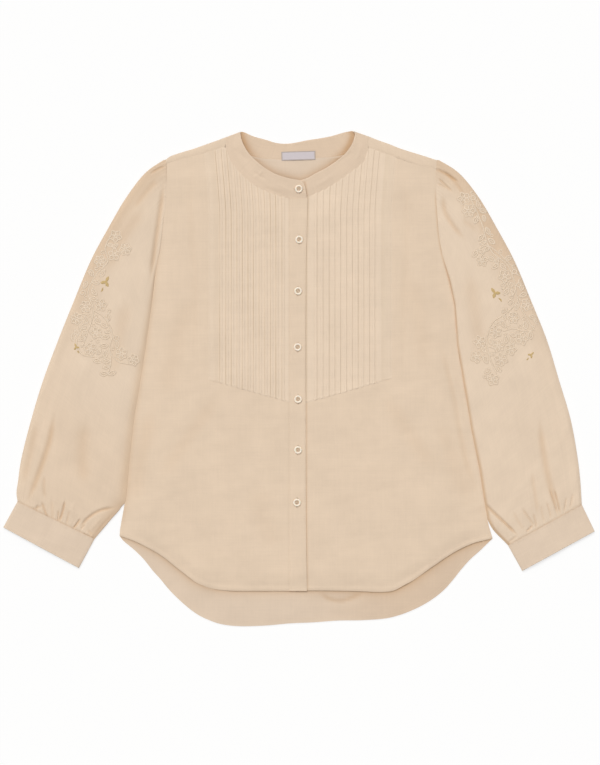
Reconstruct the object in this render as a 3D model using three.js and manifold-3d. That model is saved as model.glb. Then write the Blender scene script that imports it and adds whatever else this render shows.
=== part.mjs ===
import * as THREE from "three";
import Module from "manifold-3d";

// Band-collar blouse with a tucked bib, laid flat with its front up.
// Millimetres, +Z up, the floor at z = 0, +Y toward the neck, +X to the viewer's right.

// Thickness of each kind of cloth and the space left between pieces
const CLOTH = 1.2;
const BAND_CLOTH = 1.6;
const CUFF_CLOTH = 1.5;
const SEAM_GAP = 0.3;
const NECK_GAP = 0.8;
const ARMHOLE_GAP = 0.8;
const BIB_GAP = 0.4;

// How far the front stands off the back, and how far in from an edge it gets there
const BODY_RISE = 2.6;
const SIDE_RUN = 42;
const HEM_RUN = 26;
const HEAD_RUN = 38;

// Tucks: raised on the outer face over a plain inside
const TUCK_HEIGHT = 0.95;
const TUCK_WIDTH = 4.2;
const TUCK_EDGE = 0.3;
const TUCK_LEAN = 6.6;
const LEAN_FROM_Y = 229;
const LEAN_LENGTH = 88;

// Placket, buttons and neck label
const PLACKET_LEFT_X = -14.6;
const FRONT_LEFT_EDGE_X = -15;
const FRONT_RIGHT_EDGE_X = -9;
const BUTTON_RADIUS = 5.5;
const BUTTON_HEIGHT = 2.2;
const BUTTON_HOLE_RADIUS = 0.55;
const BUTTON_HOLE_OFFSET = 1.05;
const BUTTON_SIDES = 14;
const LABEL = { x: -1.5, y: 312, width: 47.5, depth: 12.2, thickness: 1, tilt: 1.7 };

// Sleeves and cuffs
const SLEEVE_EDGE = 3.1;
const SLEEVE_HEIGHT = 6.4;
const CUFF_HEIGHT = 4.4;
const GATHER_HEIGHT = 1.5;

const COLOUR = {
  body: "#e1caae", bib: "#e2ccb0", sleeve: "#e1cab0", cuff: "#ddc8b1",
  band: "#e0c8ac", placket: "#e1cbb0", back: "#d7c3af", button: "#f4e8da", label: "#d3cbd0",
};

// Outlines, a row for each point, in the order that the edge runs
const SHOULDER_FOLD_LEFT = [
  { x: -187.5, y: 306.5 }, { x: -181.5, y: 311 }, { x: -164.5, y: 317 }, { x: -146.5, y: 322.5 },
  { x: -131, y: 328 }, { x: -114, y: 334 }, { x: -101.6, y: 338.7 },
];
const SHOULDER_FOLD_RIGHT = [
  { x: 95.7, y: 339.7 }, { x: 110, y: 334 }, { x: 125.5, y: 328.5 }, { x: 140.5, y: 322.5 },
  { x: 157.5, y: 317 }, { x: 175.5, y: 311.5 }, { x: 192, y: 306 },
];
const FORWARD_SEAM_LEFT = [
  { x: -186.5, y: 301 }, { x: -163, y: 308 }, { x: -138, y: 314.5 }, { x: -121, y: 319.5 },
  { x: -104, y: 325 },
];
const FORWARD_SEAM_RIGHT = [
  { x: 97, y: 323.5 }, { x: 115.5, y: 316.5 }, { x: 142, y: 307.5 }, { x: 155.5, y: 302.5 },
  { x: 173, y: 297.5 }, { x: 191.5, y: 293.5 },
];
const BACK_NECK_SEAM = [
  { x: -101, y: 339 }, { x: -93, y: 329.5 }, { x: -82, y: 320.5 }, { x: -69.5, y: 313.5 },
  { x: -58, y: 310 }, { x: -41.5, y: 307.5 }, { x: -25, y: 306.5 }, { x: 0.5, y: 307.5 },
  { x: 28.5, y: 309 }, { x: 53.5, y: 312 }, { x: 68, y: 316.5 }, { x: 80.5, y: 323.5 },
  { x: 89.5, y: 332 }, { x: 95, y: 340 },
];
const BACK_BAND_TOP = [
  { x: -82.5, y: 346 }, { x: -77.5, y: 345 }, { x: -65, y: 339.5 }, { x: -45.5, y: 334 },
  { x: -34.5, y: 330.5 }, { x: -23, y: 329 }, { x: -12, y: 329.5 }, { x: -0.5, y: 331.5 },
  { x: 12, y: 334 }, { x: 28.5, y: 336.5 }, { x: 44, y: 339.5 }, { x: 63.5, y: 345 },
  { x: 75, y: 347 },
];
const BAND_SEAM_LEFT = [
  { x: -101, y: 339 }, { x: -101.8, y: 332.5 }, { x: -102.6, y: 324 }, { x: -100, y: 315 },
  { x: -96, y: 306 }, { x: -87.5, y: 293.5 }, { x: -75, y: 280.5 }, { x: -61, y: 270 },
  { x: -47, y: 263 }, { x: -32, y: 257.5 }, { x: -15, y: 253.5 }, { x: -2, y: 252 },
  { x: 10.5, y: 252.5 },
];
const BAND_EDGE_LEFT = [
  { x: -82.5, y: 346 }, { x: -82, y: 338 }, { x: -79, y: 329 }, { x: -75, y: 321.5 },
  { x: -69.5, y: 313.5 }, { x: -62.5, y: 306.5 }, { x: -54, y: 299 }, { x: -44, y: 292 },
  { x: -33, y: 286 }, { x: -24.5, y: 283 }, { x: -13.5, y: 280 }, { x: 0, y: 277.5 },
  { x: 7, y: 274.5 },
];
const BAND_SEAM_RIGHT = [
  { x: 95, y: 340 }, { x: 95.6, y: 332.5 }, { x: 95.8, y: 323.5 }, { x: 93.5, y: 314.5 },
  { x: 89.5, y: 305 }, { x: 82, y: 297 }, { x: 72, y: 290 }, { x: 62.5, y: 283 },
  { x: 48.5, y: 273.5 }, { x: 32, y: 264 }, { x: 14.5, y: 257 }, { x: 0.5, y: 254 },
  { x: -9, y: 253 },
];
const BAND_EDGE_RIGHT = [
  { x: 75, y: 347 }, { x: 77.5, y: 342.5 }, { x: 76, y: 335.5 }, { x: 73.5, y: 328.5 },
  { x: 69.5, y: 322 }, { x: 64.5, y: 315.5 }, { x: 56.5, y: 308.5 }, { x: 48, y: 302 },
  { x: 35.5, y: 294 }, { x: 22.5, y: 287.5 }, { x: 12, y: 281.5 }, { x: 2, y: 278 },
  { x: -9, y: 276.5 },
];
const SIDE_LEFT = [
  { x: -252, y: -220.5 }, { x: -251.5, y: -213.5 }, { x: -249, y: -198 }, { x: -246, y: -182 },
  { x: -243.5, y: -165 }, { x: -239.5, y: -117 }, { x: -232.5, y: -55 }, { x: -217, y: 40 },
  { x: -207.5, y: 110 }, { x: -204, y: 143 }, { x: -200, y: 166 },
];
const SIDE_RIGHT = [
  { x: 270.5, y: -224 }, { x: 265, y: -205 }, { x: 260.5, y: -180 }, { x: 252.5, y: -128 },
  { x: 241, y: -72 }, { x: 231.5, y: -14.5 }, { x: 221.5, y: 44 }, { x: 217.5, y: 101.5 },
  { x: 210.5, y: 136.5 }, { x: 200.5, y: 171.5 },
];
const ARMHOLE_LEFT = [
  { x: -200, y: 166 }, { x: -196, y: 184 }, { x: -192.5, y: 206 }, { x: -189.5, y: 230 },
  { x: -187.5, y: 253 }, { x: -186.5, y: 278 }, { x: -186.5, y: 301 }, { x: -187.5, y: 306.5 },
];
const ARMHOLE_RIGHT = [
  { x: 200.5, y: 171.5 }, { x: 197, y: 189 }, { x: 194.5, y: 208 }, { x: 193, y: 229 },
  { x: 191.5, y: 250 }, { x: 191, y: 272.5 }, { x: 191.5, y: 293.5 }, { x: 192, y: 306 },
];
const FRONT_HEM_LEFT = [
  { x: -252, y: -220.5 }, { x: -241.5, y: -224 }, { x: -229, y: -229 }, { x: -212, y: -237.5 },
  { x: -195.5, y: -247 }, { x: -170.5, y: -266.5 }, { x: -146.5, y: -285 }, { x: -124, y: -294 },
  { x: -101.5, y: -297 }, { x: -58, y: -297.5 }, { x: -15, y: -297.5 },
];
const FRONT_HEM_RIGHT = [
  { x: -9, y: -297 }, { x: 38, y: -297 }, { x: 84.5, y: -298 }, { x: 117, y: -299 },
  { x: 132, y: -297 }, { x: 158, y: -283.5 }, { x: 188.5, y: -262 }, { x: 216.5, y: -243.5 },
  { x: 242.5, y: -231 }, { x: 257, y: -227 }, { x: 270.5, y: -224 },
];
const BACK_HEM = [
  { x: -252, y: -220.5 }, { x: -247, y: -227 }, { x: -231.5, y: -240 }, { x: -217.5, y: -254 },
  { x: -206.5, y: -268 }, { x: -194, y: -282 }, { x: -182.5, y: -296 }, { x: -168.5, y: -310 },
  { x: -153.5, y: -323 }, { x: -139.5, y: -332.5 }, { x: -126.5, y: -338.5 }, { x: -114, y: -343 },
  { x: -97.5, y: -346 }, { x: -80.5, y: -347 }, { x: -47, y: -346 }, { x: -13.5, y: -343 },
  { x: 20.5, y: -341.5 }, { x: 54, y: -339 }, { x: 87.5, y: -338.5 }, { x: 121, y: -336 },
  { x: 138, y: -332 }, { x: 154.5, y: -326 }, { x: 171.5, y: -318 }, { x: 187, y: -308.5 },
  { x: 202.5, y: -296 }, { x: 215, y: -282 }, { x: 226, y: -268 }, { x: 238.5, y: -254 },
  { x: 254, y: -240 }, { x: 270.5, y: -224 },
];
const BIB_FOOT_LEFT = [
  { x: -127.5, y: -2 }, { x: -90.5, y: -12.5 }, { x: -52.5, y: -23 }, { x: -15, y: -33.5 },
];
const BIB_FOOT_RIGHT = [
  { x: -9, y: -39.5 }, { x: 12.5, y: -33.5 }, { x: 63.5, y: -19.5 }, { x: 96, y: -10 },
  { x: 129.5, y: 0 },
];
const PLACKET_EDGE = [
  { x: 10.5, y: -297.2 }, { x: 9, y: -198 }, { x: 8.5, y: 60 }, { x: 9, y: 160 },
  { x: 11, y: 235 }, { x: 11.5, y: 251.8 },
];

// Where each tuck's free edge runs at mid height
const TUCKS_LEFT = [-111.5, -103, -95.5, -87.5, -80, -72, -64.5, -56.5, -48.5, -40.5, -33, -24.5];
const TUCKS_RIGHT = [24.5, 33, 41.5, 49.5, 57.5, 66, 74, 82, 90, 98, 105.5];

const BUTTONS = [
  { x: -1, y: 265.5 }, { x: -0.5, y: 194.5 }, { x: -2, y: 122.5 }, { x: -2.5, y: 44 },
  { x: -2, y: -29 }, { x: -2, y: -100 }, { x: -3.5, y: -173.5 },
];

// Sections across each sleeve, from the armhole to the cuff
const SLEEVE_LEFT = [
  { outerX: -188.5, outerY: 307.5, innerX: -200.5, innerY: 166 },
  { outerX: -215, outerY: 289, innerX: -202.5, innerY: 157.5 },
  { outerX: -241.5, outerY: 255.5, innerX: -204.5, innerY: 145 },
  { outerX: -269.5, outerY: 208, innerX: -208, innerY: 114 },
  { outerX: -292, outerY: 166, innerX: -214, innerY: 79 },
  { outerX: -315.5, outerY: 110, innerX: -218.5, innerY: 40 },
  { outerX: -338, outerY: 54, innerX: -225.5, innerY: -2 },
  { outerX: -359, outerY: -2, innerX: -233.5, innerY: -51 },
  { outerX: -376, outerY: -58, innerX: -239, innerY: -97.5 },
  { outerX: -390, outerY: -114, innerX: -243.5, innerY: -142 },
  { outerX: -394.5, outerY: -145, innerX: -248.5, innerY: -177.5 },
  { outerX: -396.5, outerY: -160.5, innerX: -264.5, innerY: -198 },
  { outerX: -395, outerY: -172, innerX: -287, innerY: -224.5 },
];
const SLEEVE_RIGHT = [
  { outerX: 193, outerY: 307.5, innerX: 201.5, innerY: 171.5 },
  { outerX: 222, outerY: 289, innerX: 206.5, innerY: 157.5 },
  { outerX: 250, outerY: 255.5, innerX: 212.5, innerY: 136.5 },
  { outerX: 278, outerY: 208, innerX: 219, innerY: 104.5 },
  { outerX: 300.5, outerY: 166, innerX: 221.5, innerY: 70.5 },
  { outerX: 324, outerY: 110, innerX: 225, innerY: 33 },
  { outerX: 346.5, outerY: 54, innerX: 232, innerY: -10.5 },
  { outerX: 363.5, outerY: -2, innerX: 240, innerY: -56.5 },
  { outerX: 380, outerY: -58, innerX: 248.5, innerY: -100 },
  { outerX: 390, outerY: -114, innerX: 256.5, innerY: -145 },
  { outerX: 393.5, outerY: -145, innerX: 262, innerY: -180 },
  { outerX: 394.5, outerY: -160.5, innerX: 267.5, innerY: -206 },
  { outerX: 395.5, outerY: -176.5, innerX: 292, innerY: -233.5 },
];
const CUFF_LEFT = [
  { outerX: -395, outerY: -172, innerX: -287, innerY: -224.5 },
  { outerX: -415, outerY: -208.5, innerX: -309, innerY: -265.5 },
];
const CUFF_RIGHT = [
  { outerX: 395.5, outerY: -176.5, innerX: 292, innerY: -233.5 },
  { outerX: 413.5, outerY: -214, innerX: 312, innerY: -269.5 },
];

// Soft folds of the front: a ridge (rise above 0) or a trough along a line
const BODY_FOLDS = [
  { fromX: -128, fromY: -8, toX: -205, toY: -200, width: 20, rise: 0.7 },
  { fromX: -60, fromY: -60, toX: -120, toY: -250, width: 24, rise: -0.6 },
  { fromX: 130, fromY: -6, toX: 214, toY: -190, width: 22, rise: 0.7 },
  { fromX: 60, fromY: -80, toX: 96, toY: -270, width: 22, rise: -0.5 },
  { fromX: -160, fromY: 290, toX: -176, toY: 60, width: 14, rise: -0.5 },
  { fromX: 168, fromY: 280, toX: 190, toY: 60, width: 15, rise: -0.5 },
];

// Folds of each sleeve: along runs from the armhole (0) to the cuff (1),
// across from the outer edge (0) to the inner edge (1)
const SLEEVE_FOLDS_LEFT = [
  { fromAlong: 0.3, fromAcross: 0.72, toAlong: 0.95, toAcross: 0.62, width: 0.07, rise: 0.8 },
  { fromAlong: 0.72, fromAcross: 0.2, toAlong: 1, toAcross: 0.14, width: 0.045, rise: -0.9 },
  { fromAlong: 0.55, fromAcross: 0.42, toAlong: 0.98, toAcross: 0.36, width: 0.06, rise: 0.6 },
  { fromAlong: 0.02, fromAcross: 0.3, toAlong: 0.3, toAcross: 0.16, width: 0.05, rise: -0.6 },
];
const SLEEVE_FOLDS_RIGHT = [
  { fromAlong: 0.62, fromAcross: 0.22, toAlong: 0.99, toAcross: 0.3, width: 0.05, rise: -0.9 },
  { fromAlong: 0.55, fromAcross: 0.5, toAlong: 0.96, toAcross: 0.5, width: 0.07, rise: 0.8 },
  { fromAlong: 0.86, fromAcross: 0.96, toAlong: 1, toAcross: 0.78, width: 0.05, rise: -0.8 },
  { fromAlong: 0.02, fromAcross: 0.34, toAlong: 0.34, toAcross: 0.24, width: 0.05, rise: -0.6 },
];

// Small gathers at the sleeve head and at the cuff: across is the place on the seam,
// length how far it runs down the sleeve, turn how far it drifts across on the way
const HEAD_GATHERS_LEFT = [
  { across: 0.08, length: 0.08, turn: -0.01, width: 0.022 },
  { across: 0.16, length: 0.12, turn: 0.01, width: 0.024 },
  { across: 0.25, length: 0.09, turn: 0.02, width: 0.022 },
  { across: 0.34, length: 0.13, turn: 0.04, width: 0.026 },
  { across: 0.46, length: 0.08, turn: 0.04, width: 0.026 },
];
const HEAD_GATHERS_RIGHT = [
  { across: 0.06, length: 0.1, turn: -0.01, width: 0.022 },
  { across: 0.14, length: 0.08, turn: 0.01, width: 0.022 },
  { across: 0.23, length: 0.14, turn: 0.02, width: 0.026 },
  { across: 0.33, length: 0.1, turn: 0.04, width: 0.024 },
  { across: 0.44, length: 0.11, turn: 0.05, width: 0.026 },
];
const CUFF_GATHERS_LEFT = [
  { across: 0.07, length: 0.1, turn: 0.0, width: 0.026 },
  { across: 0.18, length: 0.07, turn: 0.01, width: 0.024 },
  { across: 0.29, length: 0.12, turn: 0.0, width: 0.028 },
  { across: 0.4, length: 0.08, turn: -0.01, width: 0.026 },
  { across: 0.52, length: 0.12, turn: -0.01, width: 0.03 },
  { across: 0.64, length: 0.08, turn: -0.02, width: 0.026 },
  { across: 0.76, length: 0.1, turn: -0.03, width: 0.028 },
  { across: 0.88, length: 0.07, turn: -0.03, width: 0.026 },
];
const CUFF_GATHERS_RIGHT = [
  { across: 0.08, length: 0.08, turn: 0.01, width: 0.026 },
  { across: 0.19, length: 0.12, turn: 0.0, width: 0.028 },
  { across: 0.31, length: 0.08, turn: 0.0, width: 0.026 },
  { across: 0.42, length: 0.13, turn: -0.01, width: 0.03 },
  { across: 0.55, length: 0.08, turn: -0.01, width: 0.026 },
  { across: 0.67, length: 0.11, turn: -0.02, width: 0.028 },
  { across: 0.8, length: 0.08, turn: -0.02, width: 0.028 },
  { across: 0.91, length: 0.06, turn: -0.03, width: 0.024 },
];

const mix = (a, b, t) => a + (b - a) * t;
const clamp = (t) => Math.min(1, Math.max(0, t));
const ease = (t) => clamp(t) * clamp(t) * (3 - 2 * clamp(t));

// A smooth line through a table's points, read by its share of the length
function line(rows) {
  const points = rows.map((row) => new THREE.Vector3(row.x, row.y, 0));
  const curve = new THREE.CatmullRomCurve3(points, false, "centripetal");
  return (t) => {
    const point = curve.getPointAt(clamp(t));
    return { x: point.x, y: point.y };
  };
}

// Evenly spaced shares from 0 to 1
const even = (count) => Array.from({ length: count + 1 }, (_, i) => i / count);

// Two lines one after the other, the first taking the given share
function joined(first, second, share) {
  return (t) => (t <= share ? first(t / share) : second((t - share) / (1 - share)));
}

// One column of a table read against another, for rows that rise in the first
function readAt(rows, key, value, given) {
  if (given <= rows[0][key]) return rows[0][value];
  for (let i = 1; i < rows.length; i += 1) {
    if (given <= rows[i][key]) {
      const share = (given - rows[i - 1][key]) / (rows[i][key] - rows[i - 1][key]);
      return mix(rows[i - 1][value], rows[i][value], share);
    }
  }
  return rows[rows.length - 1][value];
}

// The rows of a table between two heights or two positions, with exact ends
function stretch(rows, key, value, low, high) {
  const first = { [key]: low, [value]: readAt(rows, key, value, low) };
  const last = { [key]: high, [value]: readAt(rows, key, value, high) };
  const between = rows.filter((row) => row[key] > low + 0.5 && row[key] < high - 0.5);
  return [first, ...between, last];
}

// A patch of evenly blended points between four edges
function patch(foot, head, left, right, columns, levels) {
  const grid = [];
  for (const v of levels) {
    const row = [];
    for (let j = 0; j <= columns; j += 1) {
      const u = j / columns;
      const blend = (key) =>
        (1 - v) * foot(u)[key] + v * head(u)[key] + (1 - u) * left(v)[key] + u * right(v)[key] -
        (1 - u) * (1 - v) * foot(0)[key] - u * (1 - v) * foot(1)[key] -
        (1 - u) * v * head(0)[key] - u * v * head(1)[key];
      row.push({ x: blend("x"), y: blend("y") });
    }
    grid.push(row);
  }
  return grid;
}

// Distance from a fold's line, and how far along it a point lies
function foldShare(x, y, fromX, fromY, toX, toY) {
  const dx = toX - fromX;
  const dy = toY - fromY;
  const along = ((x - fromX) * dx + (y - fromY) * dy) / (dx * dx + dy * dy);
  const near = clamp(along);
  const off = Math.hypot(x - fromX - dx * near, y - fromY - dy * near);
  return { along, off };
}

// Underside of the front layer above the floor
const BODY_EDGE_LEFT = [...SIDE_LEFT.slice(1), ...ARMHOLE_LEFT.slice(1)];
const BODY_EDGE_RIGHT = [...SIDE_RIGHT, ...ARMHOLE_RIGHT.slice(1)];
const FRONT_HEM = [...FRONT_HEM_LEFT, ...FRONT_HEM_RIGHT];
const HEAD_LINE = [
  ...FORWARD_SEAM_LEFT, ...BAND_SEAM_LEFT.slice(3, 11), { x: 0, y: 253 },
  ...BAND_SEAM_RIGHT.slice(4, 11).reverse(), ...FORWARD_SEAM_RIGHT,
];
function frontRise(x, y) {
  const fromLeft = x - readAt(BODY_EDGE_LEFT, "y", "x", y);
  const fromRight = readAt(BODY_EDGE_RIGHT, "y", "x", y) - x;
  const fromFoot = y - readAt(FRONT_HEM, "x", "y", x);
  const fromHead = readAt(HEAD_LINE, "x", "y", x) - y;
  const side = ease(Math.min(fromLeft, fromRight) / SIDE_RUN);
  const edge = side * ease(fromFoot / HEM_RUN) * ease(fromHead / HEAD_RUN);
  let folds = 0;
  for (const fold of BODY_FOLDS) {
    const { along, off } = foldShare(x, y, fold.fromX, fold.fromY, fold.toX, fold.toY);
    const fade = ease(along / 0.15 + 0.5) * ease((1 - along) / 0.15 + 0.5);
    folds += fold.rise * fade * Math.exp(-((off / fold.width) ** 2));
  }
  return (BODY_RISE + folds) * edge;
}
const frontUnder = (x, y) => CLOTH + SEAM_GAP + frontRise(x, y);
const frontTop = (x, y) => frontUnder(x, y) + CLOTH;

// Group, materials and the mesh makers
const group = new THREE.Group();

function clothMaterial(colour) {
  return new THREE.MeshStandardMaterial({ color: colour, roughness: 0.9, metalness: 0 });
}

function addMesh(name, geometry, material) {
  geometry.computeVertexNormals();
  const mesh = new THREE.Mesh(geometry, material);
  mesh.name = name;
  group.add(mesh);
  return mesh;
}

// A closed wall from rows of point pairs, an outer and an inner point each.
// A gap in the rows is left open, with a rim around it.
function wall(rows, closesAround) {
  const positions = [];
  const index = [];
  const ids = rows.map((row) => row.map((pair) => {
    if (!pair) return null;
    positions.push(...pair.outer, ...pair.inner);
    return positions.length / 3 - 2;
  }));
  const columns = rows[0].length;
  const columnCells = closesAround ? columns : columns - 1;
  const idAt = (i, j) => {
    const row = ids[i];
    if (!row) return null;
    if (closesAround) return row[(j + columns) % columns];
    return j < 0 || j >= columns ? null : row[j];
  };
  const filled = (i, j) =>
    [idAt(i, j), idAt(i, j + 1), idAt(i + 1, j), idAt(i + 1, j + 1)].every((id) => id !== null && id !== undefined);
  const quad = (a, b, c, d) => index.push(a, b, c, a, c, d);
  for (let i = 0; i < rows.length - 1; i += 1) {
    for (let j = 0; j < columnCells; j += 1) {
      if (!filled(i, j)) continue;
      const a = idAt(i, j);
      const b = idAt(i, j + 1);
      const c = idAt(i + 1, j + 1);
      const d = idAt(i + 1, j);
      quad(a, b, c, d);
      quad(a + 1, d + 1, c + 1, b + 1);
      if (!filled(i - 1, j)) quad(a, a + 1, b + 1, b);
      if (!filled(i + 1, j)) quad(d, c, c + 1, d + 1);
      if (!filled(i, j - 1)) quad(a, d, d + 1, a + 1);
      if (!filled(i, j + 1)) quad(b, b + 1, c + 1, c);
    }
  }
  return closedGeometry(positions, index);
}

// Turns the faces outward where the points run the other way around
function closedGeometry(positions, index) {
  let volume = 0;
  const p = (i) => positions.slice(3 * i, 3 * i + 3);
  for (let i = 0; i < index.length; i += 3) {
    const [a, b, c] = [p(index[i]), p(index[i + 1]), p(index[i + 2])];
    volume += a[0] * (b[1] * c[2] - b[2] * c[1]) + a[1] * (b[2] * c[0] - b[0] * c[2]) +
      a[2] * (b[0] * c[1] - b[1] * c[0]);
  }
  const faces = index.slice();
  if (volume < 0) {
    for (let i = 0; i < faces.length; i += 3) [faces[i + 1], faces[i + 2]] = [faces[i + 2], faces[i + 1]];
  }
  const geometry = new THREE.BufferGeometry();
  geometry.setAttribute("position", new THREE.Float32BufferAttribute(positions, 3));
  geometry.setIndex(faces);
  return geometry;
}

const frontPair = (point, raised = 0) => ({
  outer: [point.x, point.y, frontTop(point.x, point.y) + raised],
  inner: [point.x, point.y, frontUnder(point.x, point.y)],
});

// Back panel: flat on the floor, turned over each shoulder to the forward seam
const FOLD_RADIUS = (CLOTH + SEAM_GAP) / 2;
const UNDERARM_LEVEL = 0.72;
function addBack() {
  const shoulderColumns = 8;
  const neckColumns = 16;
  const columns = 2 * shoulderColumns + neckColumns;
  const levels = [0, 0.1, 0.21, 0.33, 0.45, 0.57, 0.66, UNDERARM_LEVEL, 0.75, 0.78, 0.83, 0.89, 0.95, 1];
  const foldLeft = line(SHOULDER_FOLD_LEFT);
  const foldRight = line(SHOULDER_FOLD_RIGHT);
  const share = shoulderColumns / columns;
  const head = joined(foldLeft, joined(line(BACK_NECK_SEAM), foldRight, neckColumns / (columns - shoulderColumns)), share);
  const left = joined(line(SIDE_LEFT), line(ARMHOLE_LEFT), UNDERARM_LEVEL);
  const right = joined(line(SIDE_RIGHT), line(ARMHOLE_RIGHT), UNDERARM_LEVEL);
  const grid = patch(line(BACK_HEM), head, left, right, columns, levels);
  const flat = (point) => ({ outer: [point.x, point.y, 0], inner: [point.x, point.y, CLOTH] });
  const walls = grid.map((row) => row.map(flat));
  const onShoulder = (j) => j <= shoulderColumns || j >= columns - shoulderColumns;
  const seamLeft = line(FORWARD_SEAM_LEFT);
  const seamRight = line(FORWARD_SEAM_RIGHT);
  const foldAt = (j) => {
    const isLeft = j <= shoulderColumns;
    const t = isLeft ? j / shoulderColumns : (j - columns + shoulderColumns) / shoulderColumns;
    const fold = isLeft ? foldLeft(t) : foldRight(t);
    const seam = isLeft ? seamLeft(t) : seamRight(t);
    const length = Math.hypot(seam.x - fold.x, seam.y - fold.y);
    return { fold, seam, inX: (seam.x - fold.x) / length, inY: (seam.y - fold.y) / length, length };
  };
  // the last flat row stops where the fold starts to turn up
  const reach = FOLD_RADIUS + CLOTH / 2;
  walls[levels.length - 1] = walls[levels.length - 1].map((pair, j) => {
    if (!onShoulder(j)) return pair;
    const { fold, inX, inY } = foldAt(j);
    return flat({ x: fold.x + inX * reach, y: fold.y + inY * reach });
  });
  for (const angle of [35, 70, 110, 145, 180]) {
    const turn = THREE.MathUtils.degToRad(angle);
    walls.push(walls[0].map((_, j) => {
      if (!onShoulder(j)) return null;
      const { fold, inX, inY } = foldAt(j);
      const ringPoint = (radius) => {
        const inset = reach - radius * Math.sin(turn);
        const height = CLOTH / 2 + FOLD_RADIUS - radius * Math.cos(turn);
        return [fold.x + inX * inset, fold.y + inY * inset, height];
      };
      return { outer: ringPoint(FOLD_RADIUS + CLOTH / 2), inner: ringPoint(FOLD_RADIUS - CLOTH / 2) };
    }));
  }
  for (const step of [0.5, 1]) {
    walls.push(walls[0].map((_, j) => {
      if (!onShoulder(j)) return null;
      const { fold, inX, inY, length } = foldAt(j);
      const inset = mix(reach, length - SEAM_GAP, step);
      const point = { x: fold.x + inX * inset, y: fold.y + inY * inset };
      return frontPair(point);
    }));
  }
  addMesh("back", wall(walls, false), clothMaterial(COLOUR.back));
}

// Bib side line, and the lean that the tucks take toward the shoulder
function lean(x, y, sign) {
  const share = clamp((y - LEAN_FROM_Y) / LEAN_LENGTH);
  const fromPlacket = clamp((Math.abs(x) - 15) / 45);
  return sign * TUCK_LEAN * share ** 1.3 * fromPlacket;
}

function bibSide(footX, footY, headY, sign) {
  return (t) => {
    const y = mix(footY, headY, t);
    return { x: footX + lean(footX, y, sign), y };
  };
}

// Rows beside the bib, closer together round the foot of the armhole
const UNDERARM_SHARE = 0.55;
const HIGH_LEVELS = [0, 0.14, 0.28, 0.42, UNDERARM_SHARE, 0.6, 0.65, 0.72, 0.8, 0.9, 1];

// Each front panel: below the bib it runs full width, above it only beside the bib
function addFrontLeft() {
  const besideColumns = 10;
  const underColumns = 9;
  const columns = besideColumns + underColumns;
  const share = besideColumns / columns;
  const corner = BIB_FOOT_LEFT[0];
  const hemSplit = -150;
  const foot = joined(
    line(stretch(FRONT_HEM_LEFT, "x", "y", -252, hemSplit)),
    line(stretch(FRONT_HEM_LEFT, "x", "y", hemSplit, FRONT_LEFT_EDGE_X)), share);
  const lowered = BIB_FOOT_LEFT.map((row) => ({ x: row.x, y: row.y - SEAM_GAP }));
  const splitY = corner.y - SEAM_GAP;
  const sideX = readAt(SIDE_LEFT, "y", "x", splitY);
  const across = line([{ x: sideX, y: splitY }, { x: corner.x - BIB_GAP, y: splitY }]);
  const split = joined(across, line([{ x: corner.x - BIB_GAP, y: splitY }, ...lowered.slice(1)]), share);
  const sideLow = line(stretch(SIDE_LEFT.slice(1), "y", "x", -220.5, splitY));
  const middle = line([{ x: FRONT_LEFT_EDGE_X, y: -297.5 }, { x: FRONT_LEFT_EDGE_X, y: lowered[3].y }]);
  const low = patch(foot, split, sideLow, middle, columns, even(9));
  const topY = readAt(FORWARD_SEAM_LEFT, "x", "y", corner.x - TUCK_LEAN) - SEAM_GAP;
  const seam = FORWARD_SEAM_LEFT.map((row) => ({ x: row.x, y: row.y - SEAM_GAP }));
  const head = line(stretch(seam, "x", "y", seam[0].x, corner.x - TUCK_LEAN - SEAM_GAP));
  const sideHigh = joined(
    line(stretch(SIDE_LEFT.slice(1), "y", "x", splitY, ARMHOLE_LEFT[0].y)),
    line([...ARMHOLE_LEFT.slice(0, 6), seam[0]]), UNDERARM_SHARE);
  const besideBib = bibSide(corner.x - BIB_GAP, splitY, topY, -1);
  const high = patch(across, head, sideHigh, besideBib, besideColumns, HIGH_LEVELS);
  const rows = low.map((row) => row.map((point) => frontPair(point)));
  for (const row of high.slice(1)) {
    const gap = new Array(underColumns).fill(null);
    rows.push([...row.map((point) => frontPair(point)), ...gap]);
  }
  addMesh("front_left", wall(rows, false), clothMaterial(COLOUR.body));
}

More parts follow.
